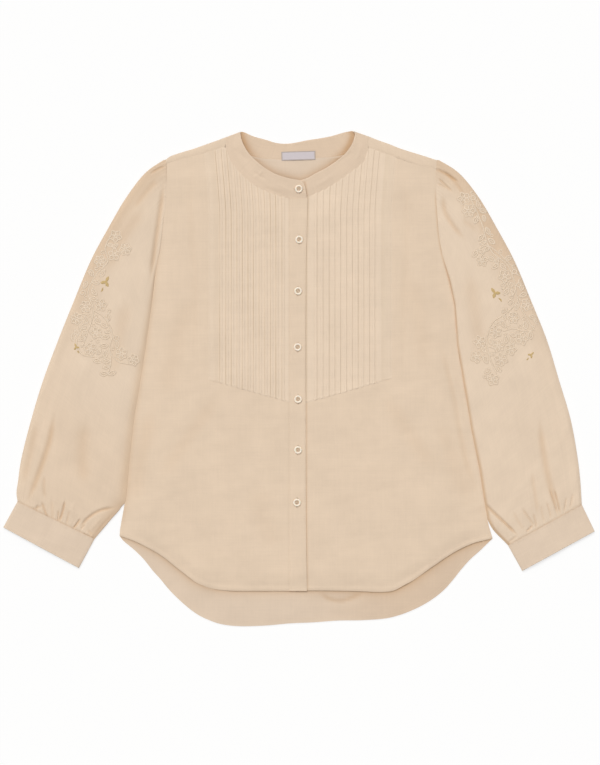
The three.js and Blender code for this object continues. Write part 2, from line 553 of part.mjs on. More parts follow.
function addFrontRight() {
  const besideColumns = 10;
  const underColumns = 10;
  const columns = besideColumns + underColumns;
  const share = underColumns / columns;
  const corner = BIB_FOOT_RIGHT[BIB_FOOT_RIGHT.length - 1];
  const hemSplit = 148;
  const foot = joined(
    line(stretch(FRONT_HEM_RIGHT, "x", "y", FRONT_RIGHT_EDGE_X, hemSplit)),
    line(stretch(FRONT_HEM_RIGHT, "x", "y", hemSplit, 270.5)), share);
  const lowered = BIB_FOOT_RIGHT.map((row) => ({ x: row.x, y: row.y - SEAM_GAP }));
  const splitY = corner.y - SEAM_GAP;
  const sideX = readAt(SIDE_RIGHT, "y", "x", splitY);
  const across = line([{ x: corner.x + BIB_GAP, y: splitY }, { x: sideX, y: splitY }]);
  const bibLine = line([...lowered.slice(0, -1), { x: corner.x + BIB_GAP, y: splitY }]);
  const split = joined(bibLine, across, share);
  const sideLow = line(stretch(SIDE_RIGHT, "y", "x", -224, splitY));
  const middle = line([{ x: FRONT_RIGHT_EDGE_X, y: -297 }, { x: FRONT_RIGHT_EDGE_X, y: lowered[0].y }]);
  const low = patch(foot, split, middle, sideLow, columns, even(9));
  const seam = FORWARD_SEAM_RIGHT.map((row) => ({ x: row.x, y: row.y - SEAM_GAP }));
  const topX = corner.x + TUCK_LEAN + SEAM_GAP;
  const last = seam[seam.length - 1];
  const head = line(stretch(seam, "x", "y", topX, last.x));
  const topY = readAt(seam, "x", "y", topX);
  const sideHigh = joined(
    line(stretch(SIDE_RIGHT, "y", "x", splitY, ARMHOLE_RIGHT[0].y)),
    line([...ARMHOLE_RIGHT.slice(0, 6), last]), UNDERARM_SHARE);
  const besideBib = bibSide(corner.x + BIB_GAP, splitY, topY, 1);
  const high = patch(across, head, besideBib, sideHigh, besideColumns, HIGH_LEVELS);
  const rows = low.map((row) => row.map((point) => frontPair(point)));
  for (const row of high.slice(1)) {
    const gap = new Array(underColumns).fill(null);
    rows.push([...gap, ...row.map((point) => frontPair(point))]);
  }
  addMesh("front_right", wall(rows, false), clothMaterial(COLOUR.body));
}

// Bib: columns follow the tucks, a tuck stands up at its free edge and slopes back
function addBib(name, tucks, footRows, outerX, innerX, sign) {
  const columns = [{ x: outerX, raised: 0 }, { x: mix(outerX, tucks[0], 0.55), raised: 0 }];
  const ordered = sign < 0 ? tucks : tucks.slice().reverse();
  if (sign > 0) columns[1].x = mix(outerX, ordered[0], 0.55);
  for (const x of ordered) {
    columns.push({ x: x + sign * TUCK_EDGE, raised: 0 });
    columns.push({ x, raised: TUCK_HEIGHT });
    columns.push({ x: x - sign * TUCK_WIDTH * 0.6, raised: TUCK_HEIGHT * 0.8 });
    columns.push({ x: x - sign * TUCK_WIDTH, raised: 0 });
  }
  columns.push({ x: mix(columns[columns.length - 1].x, innerX, 0.5), raised: 0 });
  columns.push({ x: innerX, raised: 0 });
  if (sign > 0) columns.reverse();
  const headRows = sign < 0
    ? [...FORWARD_SEAM_LEFT, ...BAND_SEAM_LEFT.slice(3)]
    : [...BAND_SEAM_RIGHT.slice(3).reverse(), ...FORWARD_SEAM_RIGHT];
  const steps = [0, 0.35, 0.62, 0.76, 0.86, 0.94, 1];
  const rows = steps.map((step) => columns.map((column) => {
    const footY = readAt(footRows, "x", "y", column.x);
    let headY = 300;
    for (let i = 0; i < 12; i += 1) {
      headY = readAt(headRows, "x", "y", column.x + lean(column.x, headY, sign)) - NECK_GAP;
    }
    const y = mix(footY, headY, step);
    const point = { x: column.x + lean(column.x, y, sign), y };
    return frontPair(point, column.raised);
  }));
  addMesh(name, wall(rows, false), clothMaterial(COLOUR.bib));
}

// Placket: the over-lapping front edge, a strip on top of the right front
function addPlacket() {
  const rows = [];
  const count = 26;
  const footY = -297.2;
  const headY = 251.4;
  for (let i = 0; i <= count; i += 1) {
    const t = i / count;
    const y = mix(footY, headY, t);
    const rightX = readAt(PLACKET_EDGE, "y", "x", y);
    rows.push([0, 0.12, 0.5, 0.88, 1].map((share) => {
      const x = mix(PLACKET_LEFT_X, rightX, share);
      const under = frontTop(x, y) + SEAM_GAP;
      return { outer: [x, y, under + CLOTH], inner: [x, y, under] };
    }));
  }
  addMesh("placket", wall(rows, false), clothMaterial(COLOUR.placket));
}

// Collar band: one strip around the neck, its ends one over the other at the front
const BAND_BACK_Z = BAND_CLOTH / 2;
const BAND_FRONT_Z = 2.9;
const BAND_OVER_Z = BAND_FRONT_Z + BAND_CLOTH + SEAM_GAP;
function addBand() {
  const stations = [];
  const station = (seam, edge, midZ, normal) => stations.push({ seam, edge, midZ, normal });
  const up = [0, 0, 1];
  const seamRight = line(BAND_SEAM_RIGHT);
  const edgeRight = line(BAND_EDGE_RIGHT);
  const seamLeft = line(BAND_SEAM_LEFT);
  const edgeLeft = line(BAND_EDGE_LEFT);
  const seamBack = line(BACK_NECK_SEAM);
  const edgeBack = line(BACK_BAND_TOP);
  const radius = (BAND_FRONT_Z - BAND_BACK_Z) / 2;
  const reach = radius + BAND_CLOTH / 2;
  const frontSteps = 12;
  const backSteps = 16;
  for (let i = frontSteps; i >= 1; i -= 1) {
    station(seamRight(i / frontSteps), edgeRight(i / frontSteps), BAND_FRONT_Z, up);
  }
  const fold = (seam, edge, sign, angles) => {
    const length = Math.hypot(edge.x - seam.x, edge.y - seam.y);
    const outX = (-sign * (seam.y - edge.y)) / length;
    const outY = (sign * (seam.x - edge.x)) / length;
    for (const angle of angles) {
      const turn = THREE.MathUtils.degToRad(angle);
      const shift = -reach + radius * Math.sin(turn);
      const move = (point) => ({ x: point.x + outX * shift, y: point.y + outY * shift });
      const midZ = BAND_BACK_Z + radius + radius * Math.cos(turn);
      const normal = [outX * Math.sin(turn), outY * Math.sin(turn), Math.cos(turn)];
      station(move(seam), move(edge), midZ, normal);
    }
  };
  const turns = [0, 40, 75, 105, 140, 180];
  fold(seamRight(0), edgeRight(0), 1, turns);
  for (let i = backSteps - 1; i >= 1; i -= 1) {
    station(seamBack(i / backSteps), edgeBack(i / backSteps), BAND_BACK_Z, [0, 0, -1]);
  }
  fold(seamLeft(0), edgeLeft(0), -1, turns.slice().reverse());
  for (let i = 1; i <= frontSteps; i += 1) {
    const seam = seamLeft(i / frontSteps);
    const lift = ease((seam.x + 55) / 28);
    station(seam, edgeLeft(i / frontSteps), mix(BAND_FRONT_Z, BAND_OVER_Z, lift), up);
  }
  const shares = [0, 0.12, 0.5, 0.88, 1];
  const rows = stations.map(({ seam, edge, midZ, normal }) => {
    const length = Math.hypot(edge.x - seam.x, edge.y - seam.y);
    return shares.map((share) => {
      const along = (SEAM_GAP + 0.05 + share * (length - SEAM_GAP - 0.05)) / length;
      const x = mix(seam.x, edge.x, along);
      const y = mix(seam.y, edge.y, along);
      const half = BAND_CLOTH / 2;
      return {
        outer: [x + normal[0] * half, y + normal[1] * half, midZ + normal[2] * half],
        inner: [x - normal[0] * half, y - normal[1] * half, midZ - normal[2] * half],
      };
    });
  });
  addMesh("collar_band", wall(rows, false), clothMaterial(COLOUR.band));
}

// One ring of a flattened tube: flat on the floor, round at both edges, raised on top.
// Returns outer and inner points in the section's own plane: s across, z up.
const EDGE_ANGLES = [45, 90, 135];
function ring(width, topSteps, floorSteps, cloth, edgeHeight, topAt, ridgeAt) {
  const edgeRadius = edgeHeight / 2;
  const innerRadius = edgeRadius - cloth;
  const points = [];
  const push = (s, z, innerS, innerZ) => points.push({ s, z, innerS, innerZ });
  for (let i = 0; i <= floorSteps; i += 1) {
    const s = mix(edgeRadius, width - edgeRadius, i / floorSteps);
    push(s, 0, s, cloth);
  }
  for (const angle of EDGE_ANGLES) {
    const turn = THREE.MathUtils.degToRad(angle);
    const centre = width - edgeRadius;
    push(centre + edgeRadius * Math.sin(turn), edgeRadius - edgeRadius * Math.cos(turn),
      centre + innerRadius * Math.sin(turn), edgeRadius - innerRadius * Math.cos(turn));
  }
  for (let i = 0; i <= topSteps; i += 1) {
    const share = 1 - i / topSteps;
    const s = mix(edgeRadius, width - edgeRadius, share);
    const top = topAt(share);
    push(s, top + ridgeAt(share), s, top - cloth);
  }
  for (const angle of EDGE_ANGLES) {
    const turn = THREE.MathUtils.degToRad(180 - angle);
    push(edgeRadius - edgeRadius * Math.sin(turn), edgeRadius - edgeRadius * Math.cos(turn),
      edgeRadius - innerRadius * Math.sin(turn), edgeRadius - innerRadius * Math.cos(turn));
  }
  return points;
}

// Gathers add to the outer face only; folds move both faces
function gatherHeight(gathers, fromSeam, across, halfLengthFade) {
  let height = 0;
  for (const gather of gathers) {
    const share = fromSeam / gather.length;
    const centre = gather.across + gather.turn * clamp(share);
    const fade = ease(share / halfLengthFade + 0.45) * ease((1.5 - share) / 0.9);
    height += fade * Math.exp(-(((across - centre) / gather.width) ** 2));
  }
  return GATHER_HEIGHT * Math.min(1, height);
}

function sleevePart(options) {
  const { name, sections, armhole, folds, headGathers, cuffGathers, sign } = options;
  const outerLine = line(sections.map((row) => ({ x: row.outerX, y: row.outerY })));
  const innerLine = line(sections.map((row) => ({ x: row.innerX, y: row.innerY })));
  const armholeLine = line(armhole.map((row) => ({ x: row.x + sign * ARMHOLE_GAP, y: row.y })));
  const alongSteps = [0, 0.02, 0.045, 0.08, 0.125, 0.18, 0.25, 0.34, 0.44, 0.54, 0.64, 0.73, 0.8, 0.86, 0.905,
    0.945, 0.975, 1];
  const outerStart = armholeLine(1);
  const innerStart = armholeLine(0);
  const rows = alongSteps.map((along) => {
    const outer = along === 0 ? outerStart : outerLine(along);
    const inner = along === 0 ? innerStart : innerLine(along);
    const width = Math.hypot(inner.x - outer.x, inner.y - outer.y);
    const rise = ease(along / 0.16) * mix(1, 0.45, ease((along - 0.9) / 0.1));
    const topAt = (share) => {
      const round = Math.sin(Math.PI * clamp(share)) ** 0.55;
      let top = SLEEVE_EDGE + (SLEEVE_HEIGHT - SLEEVE_EDGE) * round * rise;
      for (const fold of folds) {
        const { along: part, off } = foldShare(along, share, fold.fromAlong, fold.fromAcross, fold.toAlong, fold.toAcross);
        const fade = ease(part / 0.2 + 0.5) * ease((1 - part) / 0.2 + 0.5);
        top += fold.rise * fade * round * rise * Math.exp(-((off / fold.width) ** 2));
      }
      return top;
    };
    const ridgeAt = (share) => {
      const inside = ease(share / 0.03) * ease((1 - share) / 0.03);
      const head = gatherHeight(headGathers, along, share, 0.5);
      const foot = gatherHeight(cuffGathers, 1 - along, share, 0.5);
      return inside * Math.min(GATHER_HEIGHT, head + foot);
    };
    const bow = 1 - ease(along / 0.2);
    const place = (s, z) => {
      const share = clamp(s / width);
      const held = armholeLine(1 - share);
      const straight = { x: mix(outerStart.x, innerStart.x, share), y: mix(outerStart.y, innerStart.y, share) };
      return [
        mix(outer.x, inner.x, s / width) + bow * (held.x - straight.x),
        mix(outer.y, inner.y, s / width) + bow * (held.y - straight.y), z,
      ];
    };
    return ring(width, 28, 4, CLOTH, SLEEVE_EDGE, topAt, ridgeAt)
      .map((point) => ({ outer: place(point.s, point.z), inner: place(point.innerS, point.innerZ) }));
  });
  addMesh(name, wall(rows, true), clothMaterial(COLOUR.sleeve));
}

function addCuff(name, sections) {
  const [seam, end] = sections;
  const depth = Math.hypot(end.outerX - seam.outerX, end.outerY - seam.outerY);
  const start = SEAM_GAP / depth;
  const rows = [start, 0.08, 0.5, 0.92, 1].map((along) => {
    const outer = { x: mix(seam.outerX, end.outerX, along), y: mix(seam.outerY, end.outerY, along) };
    const inner = { x: mix(seam.innerX, end.innerX, along), y: mix(seam.innerY, end.innerY, along) };
    const width = Math.hypot(inner.x - outer.x, inner.y - outer.y);
    const crown = mix(0.8, 1, ease(along / 0.2) * ease((1 - along) / 0.2));
    const topAt = (share) => 3.4 + (CUFF_HEIGHT - 3.4) * crown * Math.sin(Math.PI * clamp(share)) ** 0.4;
    return ring(width, 12, 4, CUFF_CLOTH, 3.4, topAt, () => 0).map((point) => {
      const place = (s, z) => [mix(outer.x, inner.x, s / width), mix(outer.y, inner.y, s / width), z];
      return { outer: place(point.s, point.z), inner: place(point.innerS, point.innerZ) };
    });
  });
  addMesh(name, wall(rows, true), clothMaterial(COLOUR.cuff));
}

// Neck label: a blank woven strip on the inside of the band
function addLabel() {
  const under = BAND_BACK_Z + BAND_CLOTH / 2 + SEAM_GAP;
  const turn = THREE.MathUtils.degToRad(LABEL.tilt);
  const place = (s, t, z) => [
    LABEL.x + s * Math.cos(turn) - t * Math.sin(turn), LABEL.y + s * Math.sin(turn) + t * Math.cos(turn), z,
  ];
  const rows = [-0.5, 0.5].map((t) => [-0.5, 0, 0.5].map((s) => ({
    outer: place(s * LABEL.width, t * LABEL.depth, under + LABEL.thickness),
    inner: place(s * LABEL.width, t * LABEL.depth, under),
  })));
  addMesh("neck_label", wall(rows, false), clothMaterial(COLOUR.label));
}

// Buttons: turned shape with a raised rim, a dished middle and four holes
const wasm = await Module();
wasm.setup();

function solidFrom(geometry) {
  const flat = geometry.index ? geometry.toNonIndexed() : geometry;
  const source = flat.attributes.position;
  const keys = new Map();
  const points = [];
  const triangles = [];
  for (let i = 0; i < source.count; i += 1) {
    const point = [source.getX(i), source.getY(i), source.getZ(i)].map((value) => Math.round(value * 1e5) / 1e5);
    const key = point.join(",");
    if (!keys.has(key)) {
      keys.set(key, points.length / 3);
      points.push(...point);
    }
    triangles.push(keys.get(key));
  }
  const kept = [];
  for (let i = 0; i < triangles.length; i += 3) {
    const [a, b, c] = triangles.slice(i, i + 3);
    if (a !== b && b !== c && a !== c) kept.push(a, b, c);
  }
  const mesh = new wasm.Mesh({ numProp: 3, vertProperties: new Float32Array(points), triVerts: new Uint32Array(kept) });
  mesh.merge();
  return new wasm.Manifold(mesh);
}

function geometryFrom(solid) {
  const mesh = solid.getMesh();
  const geometry = new THREE.BufferGeometry();
  geometry.setAttribute("position", new THREE.BufferAttribute(mesh.vertProperties.slice(), 3));
  geometry.setIndex(new THREE.BufferAttribute(mesh.triVerts.slice(), 1));
  return geometry;
}

const BUTTON_PROFILE = [
  { radius: 0, height: 0 }, { radius: 0.72, height: 0 }, { radius: 1, height: 0.4 },
  { radius: 0.97, height: 0.78 }, { radius: 0.84, height: 1 }, { radius: 0.66, height: 0.94 },
  { radius: 0.52, height: 0.62 }, { radius: 0, height: 0.58 },
];
function buttonGeometry() {
  const profile = BUTTON_PROFILE.map((row) => new THREE.Vector2(row.radius * BUTTON_RADIUS, row.height * BUTTON_HEIGHT));
  const turned = new THREE.LatheGeometry(profile, BUTTON_SIDES);
  turned.rotateX(Math.PI / 2);
  let solid = solidFrom(turned);
  for (const [sideX, sideY] of [[1, 1], [1, -1], [-1, 1], [-1, -1]]) {
    const hole = new THREE.CylinderGeometry(BUTTON_HOLE_RADIUS, BUTTON_HOLE_RADIUS, BUTTON_HEIGHT * 2, 5);
    hole.rotateX(Math.PI / 2);
    hole.translate(sideX * BUTTON_HOLE_OFFSET, sideY * BUTTON_HOLE_OFFSET, BUTTON_HEIGHT / 2);
    solid = solid.subtract(solidFrom(hole));
  }
  return geometryFrom(solid);
}

function addButtons() {
  const material = new THREE.MeshStandardMaterial({ color: COLOUR.button, roughness: 0.35, metalness: 0 });
  BUTTONS.forEach((button, i) => {
    const onBand = i === 0;
    let height = onBand ? BAND_OVER_Z + BAND_CLOTH / 2 : 0;
    if (!onBand) {
      for (const [dx, dy] of [[0, 0], [4, 4], [4, -4], [-4, 4], [-4, -4]]) {
        height = Math.max(height, frontTop(button.x + dx, button.y + dy) + SEAM_GAP + CLOTH);
      }
    }
    const mesh = addMesh("button_" + (i + 1), buttonGeometry(), material);
    mesh.position.set(button.x, button.y, height + SEAM_GAP);
    mesh.rotation.z = THREE.MathUtils.degToRad(17 * i);
  });
}

addBack();
addFrontLeft();
addFrontRight();
addBib("bib_left", TUCKS_LEFT, BIB_FOOT_LEFT, BIB_FOOT_LEFT[0].x, FRONT_LEFT_EDGE_X, -1);
addBib("bib_right", TUCKS_RIGHT, BIB_FOOT_RIGHT, BIB_FOOT_RIGHT[BIB_FOOT_RIGHT.length - 1].x, FRONT_RIGHT_EDGE_X, 1);
addPlacket();
addBand();
addLabel();
sleevePart({
  name: "sleeve_left", sections: SLEEVE_LEFT, armhole: ARMHOLE_LEFT, folds: SLEEVE_FOLDS_LEFT,
  headGathers: HEAD_GATHERS_LEFT, cuffGathers: CUFF_GATHERS_LEFT, sign: -1,
});
sleevePart({
  name: "sleeve_right", sections: SLEEVE_RIGHT, armhole: ARMHOLE_RIGHT, folds: SLEEVE_FOLDS_RIGHT,
  headGathers: HEAD_GATHERS_RIGHT, cuffGathers: CUFF_GATHERS_RIGHT, sign: 1,
});
addCuff("cuff_left", CUFF_LEFT);
addCuff("cuff_right", CUFF_RIGHT);
addButtons();

export default group;
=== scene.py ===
import math
import random

import bmesh
import bpy
import numpy as np
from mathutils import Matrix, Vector
from mathutils.bvhtree import BVHTree


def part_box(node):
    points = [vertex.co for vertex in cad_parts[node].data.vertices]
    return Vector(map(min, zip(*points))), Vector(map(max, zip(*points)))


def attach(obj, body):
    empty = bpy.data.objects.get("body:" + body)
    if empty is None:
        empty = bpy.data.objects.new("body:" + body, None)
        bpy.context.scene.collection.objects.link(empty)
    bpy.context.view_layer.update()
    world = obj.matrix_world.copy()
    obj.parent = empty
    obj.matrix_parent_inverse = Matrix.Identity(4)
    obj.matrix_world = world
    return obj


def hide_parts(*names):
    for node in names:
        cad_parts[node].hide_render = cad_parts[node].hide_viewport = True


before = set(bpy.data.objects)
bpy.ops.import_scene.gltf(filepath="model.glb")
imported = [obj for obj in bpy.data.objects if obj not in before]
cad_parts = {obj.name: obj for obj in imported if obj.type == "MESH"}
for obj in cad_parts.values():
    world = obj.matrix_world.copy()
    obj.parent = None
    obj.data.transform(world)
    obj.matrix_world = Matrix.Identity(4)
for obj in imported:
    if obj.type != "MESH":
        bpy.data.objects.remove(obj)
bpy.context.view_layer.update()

# Band-collar blouse laid flat. Tables and sizes are in millimetres, as in the part's source.
MM = 0.001

# Thickness of the solids' cloth, the space between pieces and the thinner cloth that shows
CLOTH = 1.2
BAND_CLOTH = 1.6
SEAM_GAP = 0.3
SHELL = 0.5

# How far the front stands off the back, and how far in from an edge it gets there
BODY_RISE = 2.6
SIDE_RUN = 42
HEM_RUN = 26
HEAD_RUN = 38

# Tucks: how far they stand up, how they lean toward the shoulder, and the range of painted shade on their
# steep sides
TUCK_RISE = 0.6
TUCK_LEAN = 6.6
LEAN_FROM_Y = 229
LEAN_LENGTH = 88
TUCK_PAINTED_SHADE_LEFT = (0.75, 1.4)
TUCK_PAINTED_SHADE_RIGHT = (0.15, 0.7)

# Fronts, placket, hems, painted shade beside the placket and in the valleys by the sleeves, and the share of
# each side line that lies below the armhole
PLACKET_LEFT_X = -14.6
PLACKET_START_X = -14.9
PLACKET_FOOT_Y = -297.4
PLACKET_HEAD_Y = 252.2
PLACKET_OVER = 0.85
PLACKET_SHELL = 0.95
PLACKET_PAINTED_SHADE = 0.62
FRONT_LEFT_EDGE_X = -15
FRONT_RIGHT_EDGE_X = -9
SIDE_ROLL_LEFT = 2.4
SIDE_ROLL_RIGHT = 1.5
VALLEY_PAINTED_SHADE_LEFT = 0.34
VALLEY_PAINTED_SHADE_RIGHT = 0.6
HEM_DEPTH = 5.6
HEM_SHADE = 0.7
UNDERARM_LEVEL = 0.72
UNDERARM_SHARE = 0.55
FOLD_RADIUS = (CLOTH + SEAM_GAP) / 2

# Collar band: heights of its layers, how far its neck edge stands up, how far it laps its seam, and painted
# shade below its upper end
BAND_BACK_Z = BAND_CLOTH / 2
BAND_FRONT_Z = 2.9
BAND_OVER_Z = BAND_FRONT_Z + 1.45
BAND_STAND = 2.6
BAND_UNDER_STAND = 0.4
BAND_HALF = 0.5
BAND_LAP = 1.0
BAND_FRONT_STEPS = 90
BAND_BACK_STEPS = 110
BAND_END_ROUND = 6.5
BAND_END_PAINTED_SHADE = 0.55
BAND_END_LINE = [(7.5, 275), (11, 252)]

# Buttons: their size, the four holes and half the length and width of a buttonhole
BUTTON_RADIUS = 5.5
BUTTON_HEIGHT = 1.7
HOLE_RADIUS = 0.55
HOLE_OFFSET = 1.05
BUTTON_SIDES = 56
BUTTONHOLE_HALF = (7.4, 1.15)

# Neck label: its middle, size, turn in degrees and height
LABEL_X = -1.5
LABEL_Y = 312
LABEL_WIDTH = 47.5
LABEL_DEPTH = 12.2
LABEL_TILT = 1.7
LABEL_LEVEL = 2.35
LABEL_SHELL = 0.3

# Each sleeve: heights of its sides and crown, how fast it gets there, its rim, how far it laps the
# body, and the strength and width of the painted shade at its inner side and low down
SLEEVE_SHAPE_LEFT = {
    "sign": -1, "outer_high": 3.1, "inner_high": 3.0, "crown": 6.0, "outer_run": 4, "inner_run": 11,
    "rim": 0.9, "lap": -1.5, "lap_to_y": -176, "inner_ease": 5, "inner_painted_shade": 0.4, "inner_width": 10,
    "low_painted_shade": 0.13, "seed": 3,
}
SLEEVE_SHAPE_RIGHT = {
    "sign": 1, "outer_high": 3.1, "inner_high": 2.6, "crown": 6.0, "outer_run": 4, "inner_run": 4,
    "rim": 0.7, "lap": 0.3, "lap_to_y": -200, "inner_ease": 2.5, "inner_painted_shade": 0.75, "inner_width": 2.8,
    "low_painted_shade": 0.04, "seed": 11,
}
SLEEVE_LOWEST = 1.5
SLEEVE_COLUMNS = 170
SLEEVE_FLOOR_COLUMNS = 22
# Painted shade along the sleeves' upper outer edges and along the seams between sleeve and cuff
EDGE_PAINTED_SHADE = 0.42
SEAM_PAINTED_SHADE = 0.3
CUFF_HEIGHT = 4.4
CUFF_EDGE = 2.8
CUFF_LENGTH = 41.6
CUFF_COLUMNS = 110
CUFF_FLOOR_COLUMNS = 16

# Cloth and thread, in metres of the cloth's own map: pitch, noise stretches, and the colours of painted shade
# in folds, beside tucks and at a thread's sides
THREAD_PITCH = 0.00042
FINE_YARN = ((900, 60, 1), (55, 900, 1))
COARSE_YARN = ((380, 17, 1), (15, 420, 1))
CLOUD_SCALE = 22
YARN_SHARE = 0.56
FOLD_SHADE_COLOUR = (0.8, 0.67, 0.53, 1)
TUCK_SHADE_COLOUR = (0.72, 0.68, 0.6, 1)
THREAD_SIDE_SHADE = (0.925, 0.9, 0.865)

# Embroidery: height of a cord and of a filled shape, spacing of a cord's points
CORD_RISE = 0.5
FILL_RISE = 0.6
CORD_STEP = 1.1
EDGE_CLEAR = 2

# Light and camera
WORLD_TOP = 0.85
WORLD_SIDE = 0.12
WORLD_COLOUR = (1, 0.985, 0.965, 1)
KEY_STRENGTH = 1.66
KEY_ANGLE = 38
KEY_COLOUR = (0.985, 0.995, 1.0)
KEY_DIRECTION = (0.34, -0.72, -1.0)
FLOOR_SIZE = 3.0
FLOOR_BASE = 0.4
FLOOR_GLOW = 0.585
VIEW_WIDTH = 0.84
VIEW_CENTRE = (0.0007, -0.0056)
VIEW_ASPECT = 765 / 600

# Seams, folds and edges on the floor plan: x, y
SHOULDER_FOLD_LEFT = [
    (-187.5, 306.5), (-181.5, 311), (-164.5, 317), (-146.5, 322.5), (-131, 328), (-114, 334), (-101.6, 338.7),
]
SHOULDER_FOLD_RIGHT = [
    (95.7, 339.7), (110, 334), (125.5, 328.5), (140.5, 322.5), (157.5, 317), (175.5, 311.5), (192, 306),
]
FORWARD_SEAM_LEFT = [(-186.5, 301), (-163, 308), (-138, 314.5), (-121, 319.5), (-104, 325)]
FORWARD_SEAM_RIGHT = [(97, 323.5), (115.5, 316.5), (142, 307.5), (155.5, 302.5), (173, 297.5), (191.5, 293.5)]
BACK_NECK_SEAM = [
    (-101, 339), (-93, 329.5), (-82, 320.5), (-69.5, 313.5), (-58, 310), (-41.5, 307.5), (-25, 306.5),
    (0.5, 307.5), (28.5, 309), (53.5, 312), (68, 316.5), (80.5, 323.5), (89.5, 332), (95, 340),
]
BACK_BAND_TOP = [
    (-82.5, 346), (-77.5, 345), (-65, 339.5), (-45.5, 334), (-34.5, 330.5), (-23, 329), (-12, 329.5),
    (-0.5, 331.5), (12, 334), (28.5, 336.5), (44, 339.5), (63.5, 345), (75, 347),
]
BAND_SEAM_LEFT = [
    (-101, 339), (-101.8, 332.5), (-102.6, 324), (-100, 315), (-96, 306), (-87.5, 293.5), (-75, 280.5),
    (-61, 270), (-47, 263), (-32, 257.5), (-15, 253.5), (-2, 252), (10.5, 252.5),
]
BAND_EDGE_LEFT = [
    (-82.5, 346), (-82, 338), (-79, 329), (-75, 321.5), (-69.5, 313.5), (-62.5, 306.5), (-54, 299),
    (-44, 292), (-33, 286), (-24.5, 283), (-13.5, 280), (0, 277.5), (7, 274.5),
]
BAND_SEAM_RIGHT = [
    (95, 340), (95.6, 332.5), (95.8, 323.5), (93.5, 314.5), (89.5, 305), (82, 297), (72, 290),
    (62.5, 283), (48.5, 273.5), (32, 264), (14.5, 257), (0.5, 254), (-9, 253),
]
BAND_EDGE_RIGHT = [
    (75, 347), (77.5, 342.5), (76, 335.5), (73.5, 328.5), (69.5, 322), (64.5, 315.5), (56.5, 308.5),
    (48, 302), (35.5, 294), (22.5, 287.5), (12, 281.5), (2, 278), (-9, 276.5),
]
SIDE_LEFT = [
    (-252, -220.5), (-251.5, -213.5), (-249, -198), (-246, -182), (-243.5, -165), (-239.5, -117),
    (-232.5, -55), (-217, 40), (-207.5, 110), (-204, 143), (-200, 166),
]
SIDE_RIGHT = [
    (270.5, -224), (265, -205), (260.5, -180), (252.5, -128), (241, -72), (231.5, -14.5),
    (221.5, 44), (217.5, 101.5), (210.5, 136.5), (200.5, 171.5),
]
ARMHOLE_LEFT = [
    (-200, 166), (-196, 184), (-192.5, 206), (-189.5, 230), (-187.5, 253), (-186.5, 278),
    (-186.5, 301), (-187.5, 306.5),
]
ARMHOLE_RIGHT = [
    (200.5, 171.5), (197, 189), (194.5, 208), (193, 229), (191.5, 250), (191, 272.5),
    (191.5, 293.5), (192, 306),
]
FRONT_HEM_LEFT = [
    (-252, -220.5), (-241.5, -224), (-229, -229), (-212, -237.5), (-195.5, -247), (-170.5, -266.5),
    (-146.5, -285), (-124, -294), (-101.5, -297), (-58, -297.5), (-15, -297.5),
]
FRONT_HEM_RIGHT = [
    (-9, -297), (38, -297), (84.5, -298), (117, -299), (132, -297), (158, -283.5), (188.5, -262),
    (216.5, -243.5), (242.5, -231), (257, -227), (270.5, -224),
]
BACK_HEM = [
    (-252, -220.5), (-247, -227), (-231.5, -240), (-217.5, -254), (-206.5, -268), (-194, -282),
    (-182.5, -296), (-168.5, -310), (-153.5, -323), (-139.5, -332.5), (-126.5, -338.5), (-114, -343),
    (-97.5, -346), (-80.5, -347), (-47, -346), (-13.5, -343), (20.5, -341.5), (54, -339),
    (87.5, -338.5), (121, -336), (138, -332), (154.5, -326), (171.5, -318), (187, -308.5),
    (202.5, -296), (215, -282), (226, -268), (238.5, -254), (254, -240), (270.5, -224),
]
BIB_FOOT_LEFT = [(-127.5, -2), (-90.5, -12.5), (-52.5, -23), (-15, -33.5)]
BIB_FOOT_RIGHT = [(-9, -39.5), (12.5, -33.5), (63.5, -19.5), (96, -10), (129.5, 0)]
PLACKET_EDGE = [(10.5, -297.2), (9, -198), (8.5, 60), (9, 160), (11, 235), (11.5, 251.8)]

# Tucks from side to middle, and the buttons from the top down
TUCKS_LEFT = [-111.5, -103, -95.5, -87.5, -80, -72, -64.5, -56.5, -48.5, -40.5, -33, -24.5]
TUCKS_RIGHT = [24.5, 33, 41.5, 49.5, 57.5, 66, 74, 82, 90, 98, 105.5]
BUTTONS = [
    (-1, 265.5), (-0.5, 194.5), (-2, 122.5), (-2.5, 44), (-2, -29), (-2, -100), (-3.5, -173.5),
]

# Sections across each sleeve from armhole to cuff: outer x, outer y, inner x, inner y
SLEEVE_LEFT = [
    (-188.5, 307.5, -200.5, 166), (-215, 289, -202.5, 157.5), (-241.5, 255.5, -204.5, 145),
    (-269.5, 208, -208, 114), (-292, 166, -214, 79), (-315.5, 110, -218.5, 40), (-338, 54, -225.5, -2),
    (-359, -2, -233.5, -51), (-376, -58, -239, -97.5), (-390, -114, -243.5, -142),
    (-394.5, -145, -248.5, -177.5), (-396.5, -160.5, -264.5, -198), (-395, -172, -287, -224.5),
]
SLEEVE_RIGHT = [
    (193, 307.5, 201.5, 171.5), (222, 289, 206.5, 157.5), (250, 255.5, 212.5, 136.5),
    (278, 208, 219, 104.5), (300.5, 166, 221.5, 70.5), (324, 110, 225, 33), (346.5, 54, 232, -10.5),
    (363.5, -2, 240, -56.5), (380, -58, 248.5, -100), (390, -114, 256.5, -145),
    (393.5, -145, 262, -180), (394.5, -160.5, 267.5, -206), (395.5, -176.5, 292, -233.5),
]
CUFF_LEFT = [(-395, -172, -287, -224.5), (-415, -208.5, -309, -265.5)]
CUFF_RIGHT = [(395.5, -176.5, 292, -233.5), (413.5, -214, 312, -269.5)]

